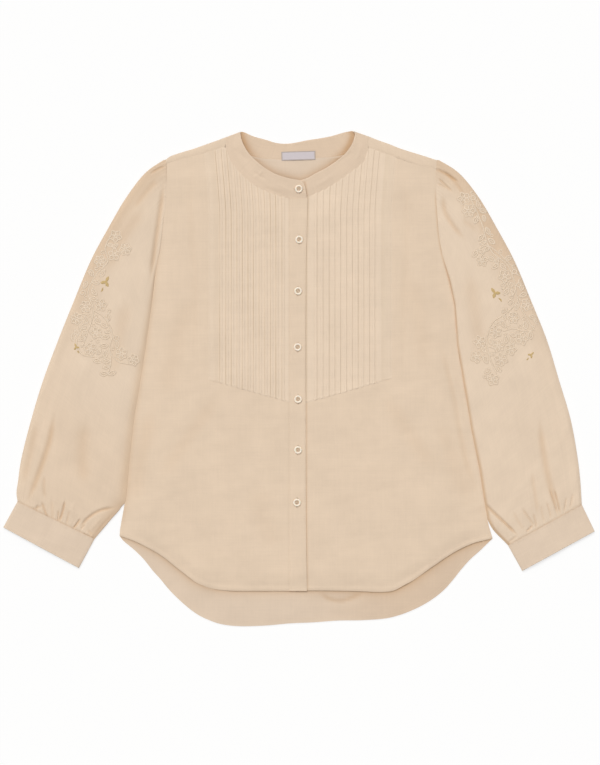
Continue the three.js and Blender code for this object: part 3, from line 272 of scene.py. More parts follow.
# Soft folds of the front and the back: from x, from y, to x, to y, width, rise
BODY_FOLDS = [
    (-128, -8, -205, -200, 20, 0.7), (-60, -60, -120, -250, 24, -0.6),
    (130, -6, 214, -190, 22, 0.7), (60, -80, 96, -270, 22, -0.5),
    (-160, 290, -176, 60, 14, -0.5), (168, 280, 190, 60, 15, -0.5),
]
FRONT_CREASES = [
    ([(-128, -6), (-170, -66), (-214, -120)], 8, 0.45),
    ([(-112, -22), (-160, -90), (-196, -140)], 11, -0.55),
    ([(-206, -40), (-222, -110), (-234, -180)], 12, -0.8),
    ([(-90, -40), (-122, -78), (-150, -112)], 13, 0.3),
    ([(-62, -150), (-48, -200), (-30, -240)], 16, -0.3),
    ([(-150, 120), (-172, 50), (-190, -30)], 14, -0.45),
    ([(129, -2), (168, -56), (206, -112)], 8, 0.45),
    ([(118, -22), (156, -80), (190, -130)], 11, -0.5),
    ([(196.5, 47), (207, 15), (217.5, -27), (225, -72), (235, -121), (250, -161)], 4.2, -0.95),
    ([(208, 30), (222, -30), (232, -90)], 4.0, 0.5),
    ([(252, -176), (259, -192), (266, -208)], 3.2, -0.5),
    ([(190, -60), (222, -130), (240, -180)], 14, -0.5),
    ([(152, 150), (168, 80), (178, 10)], 14, -0.4),
    ([(40, -130), (56, -190), (66, -236)], 16, 0.3),
    ([(-176, 190), (-168, 160), (-160, 130)], 12, 0.3),
    ([(-205, -150), (-176, -194), (-150, -232)], 16, 0.35),
    ([(222, -168), (196, -206), (170, -240)], 16, 0.35),
    ([(-150, 306), (-152, 220), (-146, 120), (-148, 20)], 5, -0.3),
    ([(147, 298), (150, 200), (145, 90), (146, 10)], 5, -0.3),
]
BACK_CREASES = [
    ([(28, -299), (42, -309), (58, -311.5), (74, -307), (90, -299)], 3.2, -1.0),
    ([(26, -318), (60, -322), (98, -312)], 7, 0.6),
    ([(-150, -270), (-116, -306), (-84, -338)], 14, 0.9),
    ([(150, -268), (176, -284), (198, -300)], 10, 0.8),
    ([(-222, -236), (-200, -264), (-180, -296)], 8, 0.5),
    ([(-40, -296), (-36, -320), (-30, -346)], 16, 0.6),
    ([(-44, 297), (0, 293), (36, 291)], 8, 0.4),
]

# Creases of each sleeve on the floor plan: points, width, rise
SLEEVE_CREASES_LEFT = [
    ([(-343, -50), (-350, -88), (-362, -125), (-372, -152), (-381, -173)], 4.0, -1.5),
    ([(-357, -136), (-357.5, -152), (-356, -168)], 2.4, -0.8),
    ([(-374, -183), (-367, -180.5), (-360, -179)], 1.5, -0.9),
    ([(-361, -172), (-357, -184), (-352.5, -195)], 1.4, -1.5),
    ([(-366, -176), (-369, -187)], 1.3, -0.8),
    ([(-347, -170), (-346, -184), (-346, -198)], 2.2, -0.6),
    ([(-328, -170), (-331.5, -186), (-337, -202)], 1.5, -1.8),
    ([(-337, -184), (-338.5, -201)], 1.2, -1.2),
    ([(-322, -184), (-326, -204)], 1.5, -0.7),
    ([(-306.5, -196), (-311, -203), (-317.5, -210.5)], 1.5, -1.7),
    ([(-258, -180.5), (-279, -185), (-296, -195.5), (-308, -209)], 2.1, -1.6),
    ([(-300, -204), (-306, -211)], 1.3, -0.9),
    ([(-304, -217), (-294, -222)], 1.3, -0.9),
    ([(-297, -211), (-290, -219)], 1.3, -0.8),
    ([(-256, -186), (-272, -202), (-287, -219)], 1.6, -0.8),
    ([(-276, -194), (-286, -205), (-293, -214)], 2.2, 0.5),
    ([(-316, -196), (-318, -184), (-314, -172)], 3.0, 0.5),
    ([(-300, -60), (-304, -110), (-300, -150)], 9, -0.7),
    ([(-368, -60), (-378, -110), (-388, -150)], 5, -0.7),
    ([(-188, 297), (-197, 294), (-209, 287)], 1.7, -1.1),
    ([(-195, 281), (-212, 264), (-232, 238)], 4.0, -0.8),
    ([(-187, 286), (-196, 281), (-203, 272)], 2.0, 0.4),
    ([(-216, 240), (-250, 190), (-268, 150)], 8, -0.7),
    ([(-240, 110), (-252, 60), (-262, 0)], 10, -0.6),
    ([(-190, 276), (-193, 250), (-196, 229), (-200, 201), (-205, 163), (-209, 135)], 3.4, -1.6),
]
SLEEVE_CREASES_RIGHT = [
    ([(257, -172), (268, -184), (285, -200), (306, -220)], 1.9, -2.1),
    ([(291, -231), (300, -224), (305, -220)], 1.5, -0.9),
    ([(311, -181), (320, -194), (330, -208)], 1.7, -1.0),
    ([(327, -188), (330, -199), (332, -210)], 1.3, -0.9),
    ([(317, -215.5), (322, -210), (327.5, -205)], 1.4, -1.3),
    ([(299, -186), (306, -200), (315, -212)], 2.2, -0.6),
    ([(325, -130), (329, -158), (334, -192)], 2.8, -0.7),
    ([(336, -58), (341, -100), (348, -138), (354, -160), (362, -190)], 4.4, -1.2),
    ([(349, -152), (356, -172), (362, -191)], 1.6, -1.1),
    ([(356, -154), (361, -172), (365.5, -190)], 1.3, -1.4),
    ([(345, -172), (350, -186), (352, -197)], 1.4, -0.8),
    ([(374, -166), (372, -177), (370, -188)], 1.3, -0.8),
    ([(383, -160), (381, -171), (378.5, -183)], 1.5, -0.7),
    ([(338, -176), (340, -190), (343, -202)], 1.5, -0.6),
    ([(318, -150), (322, -170), (324, -184)], 3.0, 0.5),
    ([(190, 294), (206, 286), (224, 274)], 1.8, -1.5),
    ([(199, 294), (216, 277), (229.5, 256), (228.5, 234)], 2.3, -0.9),
    ([(194, 281), (204, 271), (214, 261)], 1.7, -1.3),
    ([(192.5, 273), (199, 270.5), (206, 266)], 1.3, -0.9),
    ([(193, 287), (208, 277), (220, 266)], 1.8, 0.5),
    ([(200.5, 258), (204, 233), (218, 210), (231, 195)], 3.2, -1.3),
    ([(227, 222), (248, 208)], 3.4, -0.7),
    ([(240, 246), (262, 206), (280, 160)], 9, -0.6),
    ([(236, 150), (246, 90), (256, 20)], 10, -0.6),
    ([(318, 60), (338, -4), (352, -50)], 9, 0.5),
]


# Plain helpers
def clamp(t):
    return np.clip(t, 0.0, 1.0)


def ease(t):
    t = clamp(t)
    return t * t * (3 - 2 * t)


def mix(a, b, t):
    return a + (b - a) * t


def turned(points, x, y, angle):
    """Points turned by an angle and moved to a place."""
    c, s = math.cos(angle), math.sin(angle)
    return np.asarray(points, float) @ np.array([[c, s], [-s, c]]) + np.array([x, y])


def run_along(points):
    """Length run at each of a line's points."""
    steps = np.linalg.norm(np.diff(points, axis=0), axis=1)
    return np.concatenate([[0], np.cumsum(steps)])


def line(rows):
    """A smooth line through the points, read by its share of the length."""
    points = np.array(rows, float)
    ends = np.vstack([2 * points[0] - points[1], points, 2 * points[-1] - points[-2]])
    samples = []
    for i in range(len(points) - 1):
        p0, p1, p2, p3 = ends[i:i + 4]
        d0 = max(math.sqrt(np.linalg.norm(p1 - p0)), 1e-4)
        d1 = max(math.sqrt(np.linalg.norm(p2 - p1)), 1e-4)
        d2 = max(math.sqrt(np.linalg.norm(p3 - p2)), 1e-4)
        m1 = ((p1 - p0) / d0 - (p2 - p0) / (d0 + d1) + (p2 - p1) / d1) * d1
        m2 = ((p2 - p1) / d1 - (p3 - p1) / (d1 + d2) + (p3 - p2) / d2) * d1
        t = np.linspace(0, 1, 25)[:-1, None]
        c2 = -3 * p1 + 3 * p2 - 2 * m1 - m2
        c3 = 2 * p1 - 2 * p2 + m1 + m2
        samples.append(p1 + m1 * t + c2 * t ** 2 + c3 * t ** 3)
    samples = np.vstack(samples + [points[-1:]])
    length = run_along(samples)

    def read(t):
        at = clamp(np.asarray(t, float)) * length[-1]
        return np.stack([np.interp(at, length, samples[:, 0]), np.interp(at, length, samples[:, 1])], -1)
    read.length = length[-1]
    return read


def spread_on(rows, count, low=0.0, high=1.0):
    """Evenly spaced points on the smooth line through a table's points."""
    return line(rows)(np.linspace(low, high, count))


def spaced(ends, counts):
    """Shares from the first end to the last, with a number of steps for each stretch."""
    stretches = [np.linspace(low, high, count) for low, high, count in zip(ends, ends[1:], counts)]
    return np.concatenate([steps[:-1] for steps in stretches[:-1]] + stretches[-1:])


def bell(distance, width):
    """One at no distance, falling off smoothly over the width."""
    return np.exp(-(distance / width) ** 2)


def joined(first, second, share):
    """Two lines one after the other, the first taking the given share."""
    def read(t):
        t = np.asarray(t, float)[..., None]
        early = first(t[..., 0] / share)
        late = second((t[..., 0] - share) / (1 - share))
        return np.where(t <= share, early, late)
    return read


def read_at(rows, key, value, given):
    """One column of a table read against another."""
    table = np.array(rows, float)
    return np.interp(given, table[:, key], table[:, value])


def stretch(rows, key, low, high):
    """The rows of a table between two values of a column, with exact ends."""
    other = 1 - key
    first = [0, 0]
    last = [0, 0]
    first[key], first[other] = low, float(read_at(rows, key, other, low))
    last[key], last[other] = high, float(read_at(rows, key, other, high))
    between = [row for row in rows if low + 0.5 < row[key] < high - 0.5]
    return [tuple(first)] + between + [tuple(last)]


def patch(foot, head, left, right, us, vs):
    """Evenly blended points between four edge lines."""
    us = np.asarray(us, float)
    vs = np.asarray(vs, float)
    u = us[None, :, None]
    v = vs[:, None, None]
    b, t = foot(us)[None], head(us)[None]
    l, r = left(vs)[:, None], right(vs)[:, None]
    b0, b1, t0, t1 = foot(0.0), foot(1.0), head(0.0), head(1.0)
    return ((1 - v) * b + v * t + (1 - u) * l + u * r
            - (1 - u) * (1 - v) * b0 - u * (1 - v) * b1 - (1 - u) * v * t0 - u * v * t1)


def fold_sum(x, y, folds):
    """Straight soft ridges and troughs, fading out at both ends."""
    total = np.zeros(np.broadcast(x, y).shape)
    for from_x, from_y, to_x, to_y, width, rise in folds:
        dx, dy = to_x - from_x, to_y - from_y
        along = ((x - from_x) * dx + (y - from_y) * dy) / (dx * dx + dy * dy)
        near = clamp(along)
        off = np.hypot(x - from_x - dx * near, y - from_y - dy * near)
        fade = ease(along / 0.3 + 0.5) * ease((1 - along) / 0.3 + 0.5)
        total = total + rise * fade * bell(off, width)
    return total


def nearest_on(path, x, y):
    """Distance from a line of points and the share of its length at the nearest place."""
    path = np.asarray(path, float)
    run = run_along(path)
    steps = np.diff(run)
    best = np.full(np.broadcast(x, y).shape, 1e9)
    share = np.zeros(best.shape)
    for k in range(len(steps)):
        dx, dy = path[k + 1] - path[k]
        t = clamp(((x - path[k, 0]) * dx + (y - path[k, 1]) * dy) / (dx * dx + dy * dy))
        off = np.hypot(x - path[k, 0] - dx * t, y - path[k, 1] - dy * t)
        closer = off < best
        best = np.where(closer, off, best)
        share = np.where(closer, (run[k] + t * steps[k]) / run[-1], share)
    return best, share


def creases(x, y, rows):
    """Creases along curved lines, deepest in the middle and fading at both ends."""
    total = np.zeros(np.broadcast(x, y).shape)
    for points, width, rise in rows:
        path = spread_on(points, 14) if len(points) > 2 else points
        off, share = nearest_on(path, x, y)
        fade = ease(share / 0.22) * ease((1 - share) / 0.22)
        fade = 0.12 + 0.88 * fade
        total = total + rise * fade * bell(off, width * (0.6 + 0.4 * fade))
    return total


def rumple(x, y, seed, size):
    """Uneven soft waves of cloth, a few centimetres long."""
    rng = random.Random(seed)
    total = np.zeros(np.broadcast(x, y).shape)
    for _ in range(9):
        turn, length, phase = rng.uniform(0, math.pi), rng.uniform(20, 64), rng.uniform(0, 2 * math.pi)
        across = (x * math.cos(turn) + y * math.sin(turn)) * 2 * math.pi / length
        total = total + size * np.sin(across + phase + 1.4 * np.sin(across * 0.37 + phase))
    return total


# Height of the front layer, as in the solids, with finer creases on top
BODY_EDGE_LEFT = SIDE_LEFT[1:] + ARMHOLE_LEFT[1:]
BODY_EDGE_RIGHT = SIDE_RIGHT + ARMHOLE_RIGHT[1:]
FRONT_HEM = FRONT_HEM_LEFT + FRONT_HEM_RIGHT
HEAD_LINE = (FORWARD_SEAM_LEFT + BAND_SEAM_LEFT[3:11] + [(0, 253)]
             + BAND_SEAM_RIGHT[4:11][::-1] + FORWARD_SEAM_RIGHT)


def front_edges(x, y):
    """Distances from the nearer side, from the hem and from the head of the front."""
    left = x - read_at(BODY_EDGE_LEFT, 1, 0, y)
    right = read_at(BODY_EDGE_RIGHT, 1, 0, y) - x
    foot = y - read_at(FRONT_HEM, 0, 1, x)
    head = read_at(HEAD_LINE, 0, 1, x) - y
    return np.minimum(left, right), foot, head


def front_top(x, y):
    """Height of the front at a place, without its rolled edges and hem."""
    side, foot, head = front_edges(x, y)
    edge = ease(side / SIDE_RUN) * ease(foot / HEM_RUN) * ease(head / HEAD_RUN)
    rise = (BODY_RISE + fold_sum(x, y, BODY_FOLDS)) * edge
    fine = creases(x, y, FRONT_CREASES) + rumple(x, y, 21, 0.06)
    fine = fine * ease(side / 6) * ease(foot / 10) * ease(head / 14)
    return CLOTH + SEAM_GAP + rise + CLOTH + fine


def lean(x, y, sign):
    """How far a tuck has moved toward the shoulder at a height."""
    share = clamp((y - LEAN_FROM_Y) / LEAN_LENGTH)
    from_placket = clamp((np.abs(x) - 15) / 45)
    return sign * TUCK_LEAN * share ** 1.3 * from_placket


# Mesh makers
def link(name, data):
    """An object with the given data, put in the scene."""
    obj = bpy.data.objects.new(name, data)
    bpy.context.scene.collection.objects.link(obj)
    return obj


def finish_mesh(mesh, sharp=40):
    mesh.validate()
    mesh.update()
    mesh.shade_smooth()
    mesh.set_sharp_from_angle(angle=math.radians(sharp))


def set_painted_shade(mesh, values):
    """Painted shade at each point, from 0 on plain cloth to 1 in a tight fold."""
    layer = mesh.attributes.new("painted_shade", "FLOAT", "POINT")
    layer.data.foreach_set("value", np.asarray(values, float).reshape(-1))


def thread_mesh(name, points, faces, uvs, painted_shades=None, sharp=40, outward=False):
    """An object from points and a map of the cloth, both given in millimetres."""
    mesh = bpy.data.meshes.new(name)
    mesh.from_pydata((np.asarray(points) * MM).tolist(), [], faces)
    if outward:
        bm = bmesh.new()
        bm.from_mesh(mesh)
        bmesh.ops.recalc_face_normals(bm, faces=bm.faces)
        bm.to_mesh(mesh)
        bm.free()
    layer = mesh.uv_layers.new(name="cloth")
    loops = np.zeros(len(mesh.loops), int)
    mesh.loops.foreach_get("vertex_index", loops)
    layer.data.foreach_set("uv", (np.asarray(uvs) * MM)[loops].reshape(-1))
    if painted_shades is not None:
        set_painted_shade(mesh, painted_shades)
    finish_mesh(mesh, sharp)
    return link(name, mesh)


def wall(name, outer, inner, uv, around=False, keep=None, shade_paint=None):
    """A closed thin wall from two grids of points and their map."""
    rows, columns = outer.shape[:2]
    count = rows * columns
    points = np.concatenate([outer.reshape(-1, 3), inner.reshape(-1, 3)])
    cells_across = columns if around else columns - 1
    i, j = np.meshgrid(np.arange(rows - 1), np.arange(cells_across), indexing="ij")
    following = (j + 1) % columns
    a, b = i * columns + j, i * columns + following
    c, d = (i + 1) * columns + following, (i + 1) * columns + j
    kept = np.ones(i.shape, bool)
    if keep is not None:
        present = keep.reshape(-1)
        kept = present[a] & present[b] & present[c] & present[d]
    faces = [np.stack([a, b, c, d], -1)[kept]]
    faces.append(np.stack([a + count, d + count, c + count, b + count], -1)[kept])
    padded = np.zeros((rows + 1, cells_across + 2), bool)
    padded[1:-1, 1:-1] = kept
    if around:
        padded[1:-1, 0] = kept[:, -1]
        padded[1:-1, -1] = kept[:, 0]
    below, above = ~padded[:-2, 1:-1] & kept, ~padded[2:, 1:-1] & kept
    before, after = ~padded[1:-1, :-2] & kept, ~padded[1:-1, 2:] & kept
    faces.append(np.stack([a, a + count, b + count, b], -1)[below])
    faces.append(np.stack([d, c, c + count, d + count], -1)[above])
    faces.append(np.stack([a, d, d + count, a + count], -1)[before])
    faces.append(np.stack([b, b + count, c + count, c], -1)[after])
    faces = np.concatenate(faces)
    used = np.unique(faces)
    renumber = np.full(2 * count, -1)
    renumber[used] = np.arange(len(used))
    faces = renumber[faces]
    points = points[used]
    p = points[faces]
    volume = np.einsum("ij,ij->i", p[:, 0], np.cross(p[:, 1], p[:, 2])).sum()
    volume += np.einsum("ij,ij->i", p[:, 0], np.cross(p[:, 2], p[:, 3])).sum()
    if volume < 0:
        faces = faces[:, ::-1]
    both = np.concatenate([uv.reshape(-1, 2)] * 2)[used]
    shade_paint = np.broadcast_to(0.0 if shade_paint is None else shade_paint, (rows, columns)).reshape(-1)
    return thread_mesh(name, points, faces.tolist(), both, np.concatenate([shade_paint] * 2)[used])


def dress(obj, material, node=None):
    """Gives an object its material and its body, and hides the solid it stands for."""
    obj.data.materials.clear()
    obj.data.materials.append(material)
    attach(obj, "root")
    if node:
        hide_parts(node)
    return obj


def heights(points_xy, top, thickness):
    """Upper and lower face of a sheet from its floor plan and its height."""
    outer = np.concatenate([points_xy, top[..., None]], -1)
    inner = np.concatenate([points_xy, (top - thickness)[..., None]], -1)
    return outer, inner


# Materials
def nodes_of(name):
    material = bpy.data.materials.new(name)
    material.use_nodes = True
    tree = material.node_tree
    return material, tree, tree.nodes["Principled BSDF"]


def srgb(r, g, b):
    def convert(v):
        v /= 255
        return v / 12.92 if v <= 0.04045 else ((v + 0.055) / 1.055) ** 2.4
    return (convert(r), convert(g), convert(b), 1)


def math_node(tree, operation, first, second=None):
    node = tree.nodes.new("ShaderNodeMath")
    node.operation = operation
    for socket, value in zip(node.inputs, (first, second)):
        if value is None:
            continue
        if isinstance(value, (int, float)):
            socket.default_value = value
        else:
            tree.links.new(value, socket)
    return node.outputs[0]


def mixed_colour(tree, factor, first, second):
    node = tree.nodes.new("ShaderNodeMix")
    node.data_type = "RGBA"
    tree.links.new(factor, node.inputs["Factor"])
    node.inputs["A"].default_value = first
    node.inputs["B"].default_value = second
    return node.outputs["Result"]


def noise(tree, vector, scale, detail=3.0, roughness=0.55, stretch_by=None):
    if stretch_by is not None:
        mapping = tree.nodes.new("ShaderNodeMapping")
        mapping.inputs["Scale"].default_value = stretch_by
        tree.links.new(vector, mapping.inputs["Vector"])
        vector = mapping.outputs["Vector"]
    node = tree.nodes.new("ShaderNodeTexNoise")
    node.inputs["Scale"].default_value = scale
    node.inputs["Detail"].default_value = detail
    node.inputs["Roughness"].default_value = roughness
    tree.links.new(vector, node.inputs["Vector"])
    return node.outputs["Fac"]


def add(tree, first, second):
    return math_node(tree, "ADD", first, second)


def times(tree, first, second):
    return math_node(tree, "MULTIPLY", first, second)


def shade_of(colour, factor):
    return srgb(*[min(255, c * factor) for c in colour])


def cloth_map(tree):
    """The cloth's own map as a vector, and its two directions."""
    uv = tree.nodes.new("ShaderNodeUVMap")
    uv.uv_map = "cloth"
    parts = tree.nodes.new("ShaderNodeSeparateXYZ")
    tree.links.new(uv.outputs["UV"], parts.inputs["Vector"])
    return uv.outputs["UV"], parts.outputs["X"], parts.outputs["Y"]


def set_values(shader, values):
    for socket, value in values.items():
        shader.inputs[socket].default_value = value


def with_painted_shade(tree, shader, plain, painted_dark, blend="MIX"):
    """Base colour that goes from plain to a painted shade colour with each point's painted shade."""
    shade_paint = tree.nodes.new("ShaderNodeAttribute")
    shade_paint.attribute_name = "painted_shade"
    node = tree.nodes.new("ShaderNodeMix")
    node.data_type = "RGBA"
    node.blend_type = blend
    node.inputs["B"].default_value = painted_dark
    tree.links.new(shade_paint.outputs["Fac"], node.inputs["Factor"])
    tree.links.new(plain, node.inputs["A"])
    tree.links.new(node.outputs["Result"], shader.inputs["Base Color"])


def relief(tree, shader, height, strength, distance):
    bump = tree.nodes.new("ShaderNodeBump")
    bump.inputs["Strength"].default_value = strength
    bump.inputs["Distance"].default_value = distance
    tree.links.new(height, bump.inputs["Height"])
    tree.links.new(bump.outputs["Normal"], shader.inputs["Normal"])


def cotton(name, colour, shade_colour=FOLD_SHADE_COLOUR):
    """Plain-weave cotton: two sets of threads, uneven yarn, faint cloudiness, a soft sheen and painted shade
    in folds.
    """
    material, tree, shader = nodes_of(name)
    vector, map_x, map_y = cloth_map(tree)
    turn = 2 * math.pi / THREAD_PITCH
    warp = math_node(tree, "SINE", times(tree, map_x, turn))
    weft = math_node(tree, "SINE", times(tree, map_y, turn))
    weave = times(tree, warp, weft)
    fine = add(tree, *[noise(tree, vector, 1.0, 2.0, 0.5, scales) for scales in FINE_YARN])
    coarse = add(tree, *[noise(tree, vector, 1.0, 1.0, 0.5, scales) for scales in COARSE_YARN])
    cloud = noise(tree, vector, CLOUD_SCALE, 3.0)
    slubs = times(tree, add(tree, fine, coarse), 0.5)
    yarn = add(tree, times(tree, slubs, 0.5), times(tree, weave, 0.05))
    spread = tree.nodes.new("ShaderNodeMapRange")
    spread.inputs["From Min"].default_value = 0.3
    spread.inputs["From Max"].default_value = 0.7
    mixed = add(tree, times(tree, yarn, YARN_SHARE), times(tree, cloud, 1 - YARN_SHARE))
    tree.links.new(mixed, spread.inputs["Value"])
    plain = mixed_colour(tree, spread.outputs["Result"], shade_of(colour, 0.966), shade_of(colour, 1.03))
    with_painted_shade(tree, shader, plain, shade_colour, "MULTIPLY")
    set_values(shader, {
        "Roughness": 0.86, "Specular IOR Level": 0.25, "Sheen Weight": 0.12, "Sheen Roughness": 0.5,
    })
    relief(tree, shader, add(tree, times(tree, weave, 0.35), times(tree, slubs, 0.9)), 0.5, 0.00008)
    return material


def thread(name, colour, twist=0.0006, rough=0.55, sheen=0.2):
    """Twisted thread: fine slanted ridges along its length, with painted shade at its sides."""
    material, tree, shader = nodes_of(name)
    _, map_x, map_y = cloth_map(tree)
    slant = add(tree, map_x, times(tree, map_y, 0.8))
    wave = math_node(tree, "SINE", times(tree, slant, 2 * math.pi / twist))
    share = add(tree, times(tree, wave, 0.5), 0.5)
    plain = mixed_colour(tree, share, shade_of(colour, 0.94), shade_of(colour, 1.02))
    with_painted_shade(tree, shader, plain, srgb(*[c * side for c, side in zip(colour, THREAD_SIDE_SHADE)]))
    set_values(shader, {"Roughness": rough, "Sheen Weight": sheen})
    relief(tree, shader, wave, 0.5, 0.00012)
    return material


def pearl(name):
    """Glossy shell button with faint bands under the gloss and painted shade in its sunken middle."""
    material, tree, shader = nodes_of(name)
    where = tree.nodes.new("ShaderNodeTexCoord").outputs["Object"]
    bands = noise(tree, where, 420, 2.0, 0.5, (1, 2.4, 1))
    rim = mixed_colour(tree, bands, srgb(238, 223, 202), srgb(250, 239, 222))
    with_painted_shade(tree, shader, rim, srgb(203, 177, 149))
    set_values(shader, {
        "Roughness": 0.35, "Coat Weight": 0.2, "Coat Roughness": 0.15,
        "Subsurface Weight": 0.15, "Subsurface Radius": (0.002, 0.0015, 0.001),
    })
    return material


def label_weave(name):
    """Fine ribbed weave with a deeper border."""
    material, tree, shader = nodes_of(name)
    _, map_x, map_y = cloth_map(tree)
    rib = math_node(tree, "SINE", times(tree, map_y, 2 * math.pi / 0.00035))
    cross = math_node(tree, "SINE", times(tree, map_x, 2 * math.pi / 0.0003))
    weave = times(tree, rib, cross)
    from_side, from_end = math_node(tree, "ABSOLUTE", map_y), math_node(tree, "ABSOLUTE", map_x)
    at_side = math_node(tree, "GREATER_THAN", from_side, (LABEL_DEPTH / 2 - 1.2) * MM)
    at_end = math_node(tree, "GREATER_THAN", from_end, (LABEL_WIDTH / 2 - 1.4) * MM)
    border = math_node(tree, "MAXIMUM", at_side, at_end)
    shade = add(tree, times(tree, border, 0.85), times(tree, weave, 0.08))
    colour = mixed_colour(tree, shade, srgb(206, 197, 200), srgb(170, 157, 150))
    tree.links.new(colour, shader.inputs["Base Color"])
    set_values(shader, {"Roughness": 0.5, "Sheen Weight": 0.2})
    relief(tree, shader, weave, 0.4, 0.00008)
    return material


BODY_COTTON = cotton("cotton_body", (224, 202, 178))
BIB_COTTON = cotton("cotton_bib", (228, 207, 184), shade_colour=TUCK_SHADE_COLOUR)
SLEEVE_COTTON = cotton("cotton_sleeve", (226, 205, 182))
CUFF_COTTON = cotton("cotton_cuff", (222, 201, 179))
BAND_COTTON = cotton("cotton_band", (223, 200, 176))
PLACKET_COTTON = cotton("cotton_placket", (224, 202, 178))
BACK_COTTON = cotton("cotton_inside", (221, 201, 180))
SEWING = thread("sewing_thread", (229, 207, 182))
FLOSS = thread("embroidery_thread", (237, 216, 192), twist=0.0007, rough=0.5, sheen=0.3)
GOLD_FLOSS = thread("accent_thread", (208, 178, 122), twist=0.0007, rough=0.5, sheen=0.3)
PEARL = pearl("button_pearl")
LABEL_WEAVE = label_weave("label_weave")


# Sewing: small raised stitches along a line in three dimensions
def resample(points, step):
    """The same line with evenly spaced points."""
    points = np.asarray(points, float)
    length = run_along(points)
    count = max(2, int(round(length[-1] / step)) + 1)
    at = np.linspace(0, length[-1], count)
    return np.stack([np.interp(at, length, points[:, k]) for k in range(3)], -1)


class Stitches:
    """Collects stitches of many lines into one piece."""

    def __init__(self):
        self.points = []
        self.faces = []
        self.uvs = []

    def add(self, path, pitch=2.6, length=1.9, radius=0.2, lift=0.06):
        """A row of stitches along a path."""
        path = resample(path, 0.5)
        run = run_along(path)
        starts = np.arange(0.4, run[-1] - length, pitch)
        for start in starts:
            first, last = [np.array([np.interp(at, run, path[:, k]) for k in range(3)])
                           for at in (start, start + length)]
            self.bar(first, last, radius, lift)

    def bar(self, first, last, radius, lift):
        """One stitch: a short four-sided bar with narrow ends."""
        along = last - first
        size = np.linalg.norm(along)
        if size < 1e-6:
            return
        along = along / size
        side = np.cross([0, 0, 1.0], along)
        side /= max(np.linalg.norm(side), 1e-6)
        up = np.cross(along, side)
        base = len(self.points)
        for share, scale in ((0.0, 0.35), (0.2, 1.0), (0.8, 1.0), (1.0, 0.35)):
            centre = first + along * size * share + up * lift * (1 if scale == 1.0 else -1.5)
            for k in range(4):
                angle = math.pi * k / 2
                offset = side * math.cos(angle) * radius * scale + up * math.sin(angle) * radius * scale * 0.8
                self.points.append(centre + offset)
                self.uvs.append((size * share, radius * k))
        for ring in range(3):
            for k in range(4):
                a, b = base + ring * 4 + k, base + ring * 4 + (k + 1) % 4
                self.faces.append((a, b, b + 4, a + 4))
        self.faces.append(tuple(base + k for k in reversed(range(4))))
        self.faces.append(tuple(base + 12 + k for k in range(4)))

    def build(self, name, material, slot):
        dress(thread_mesh(name, self.points, self.faces, self.uvs, sharp=100), material)


BODY_SEWING = Stitches()
BIB_SEWING = Stitches()
BAND_SEWING = Stitches()
CUFF_SEWING = Stitches()


def on_front(xy, raised=0.0):
    """A line laid on the front, raised a little above it."""
    xy = np.asarray(xy, float)
    return np.concatenate([xy, (front_top(xy[:, 0], xy[:, 1]) + raised)[:, None]], -1)


def shifted(xy, distance):
    """A line moved sideways by a distance, to the left of its direction."""
    xy = np.asarray(xy, float)
    run = np.gradient(xy, axis=0)
    run /= np.linalg.norm(run, axis=1)[:, None] + 1e-9
    return xy + np.stack([-run[:, 1], run[:, 0]], -1) * distance


# Back panel with the strips turned over the shoulders
HEM_LINE = np.vstack([spread_on(FRONT_HEM_LEFT, 60), spread_on(FRONT_HEM_RIGHT, 60)])
NECK_EDGE = np.vstack([spread_on(BAND_EDGE_LEFT, 50), spread_on(BAND_EDGE_RIGHT, 50)[::-1]])


def back_top(x, y):
    """Height of the back: flat cloth, a thicker hem and soft waves."""
    foot = y - read_at(BACK_HEM, 0, 1, x)
    neck = bell(y - 300, 26) * bell(x, 70)
    waves = creases(x, y, BACK_CREASES) * ease(foot / 12 + 0.35) + 0.25 * neck
    return 1.1 + 0.2 * ease(1 - foot / 6) + np.maximum(waves, -0.5)


def neck_painted_shade(x, y):
    """Painted shade where the neck folds under the front of the band."""
    near = (np.abs(x) < 130) & (y > 240)
    shade_paint = np.zeros(np.shape(x))
    if np.any(near):
        strength = 0.5 + 0.6 * ease((y[near] - 300) / 36) + 0.25 * ease((x[near] - 20) / 40)
        shade_paint[near] = strength * bell(nearest_on(NECK_EDGE, x[near], y[near])[0], 7)
    return shade_paint


def back_painted_shade(x, y):
    """Painted shade under the front's hem, stronger toward the right, in the creases, round the neck and
    along the top.
    """
    under_hem = np.zeros(x.shape)
    low = y < -200
    close = np.exp(-nearest_on(HEM_LINE, x[low], y[low])[0] / 4.5)
    under_hem[low] = HEM_SHADE * close + 0.08 + 0.26 * ease((x[low] + 20) / 190)
    folded = clamp(-creases(x, y, BACK_CREASES) / 1.4) * 0.6 + 0.1 * (y > 240)
    return neck_painted_shade(x, y) + folded + under_hem


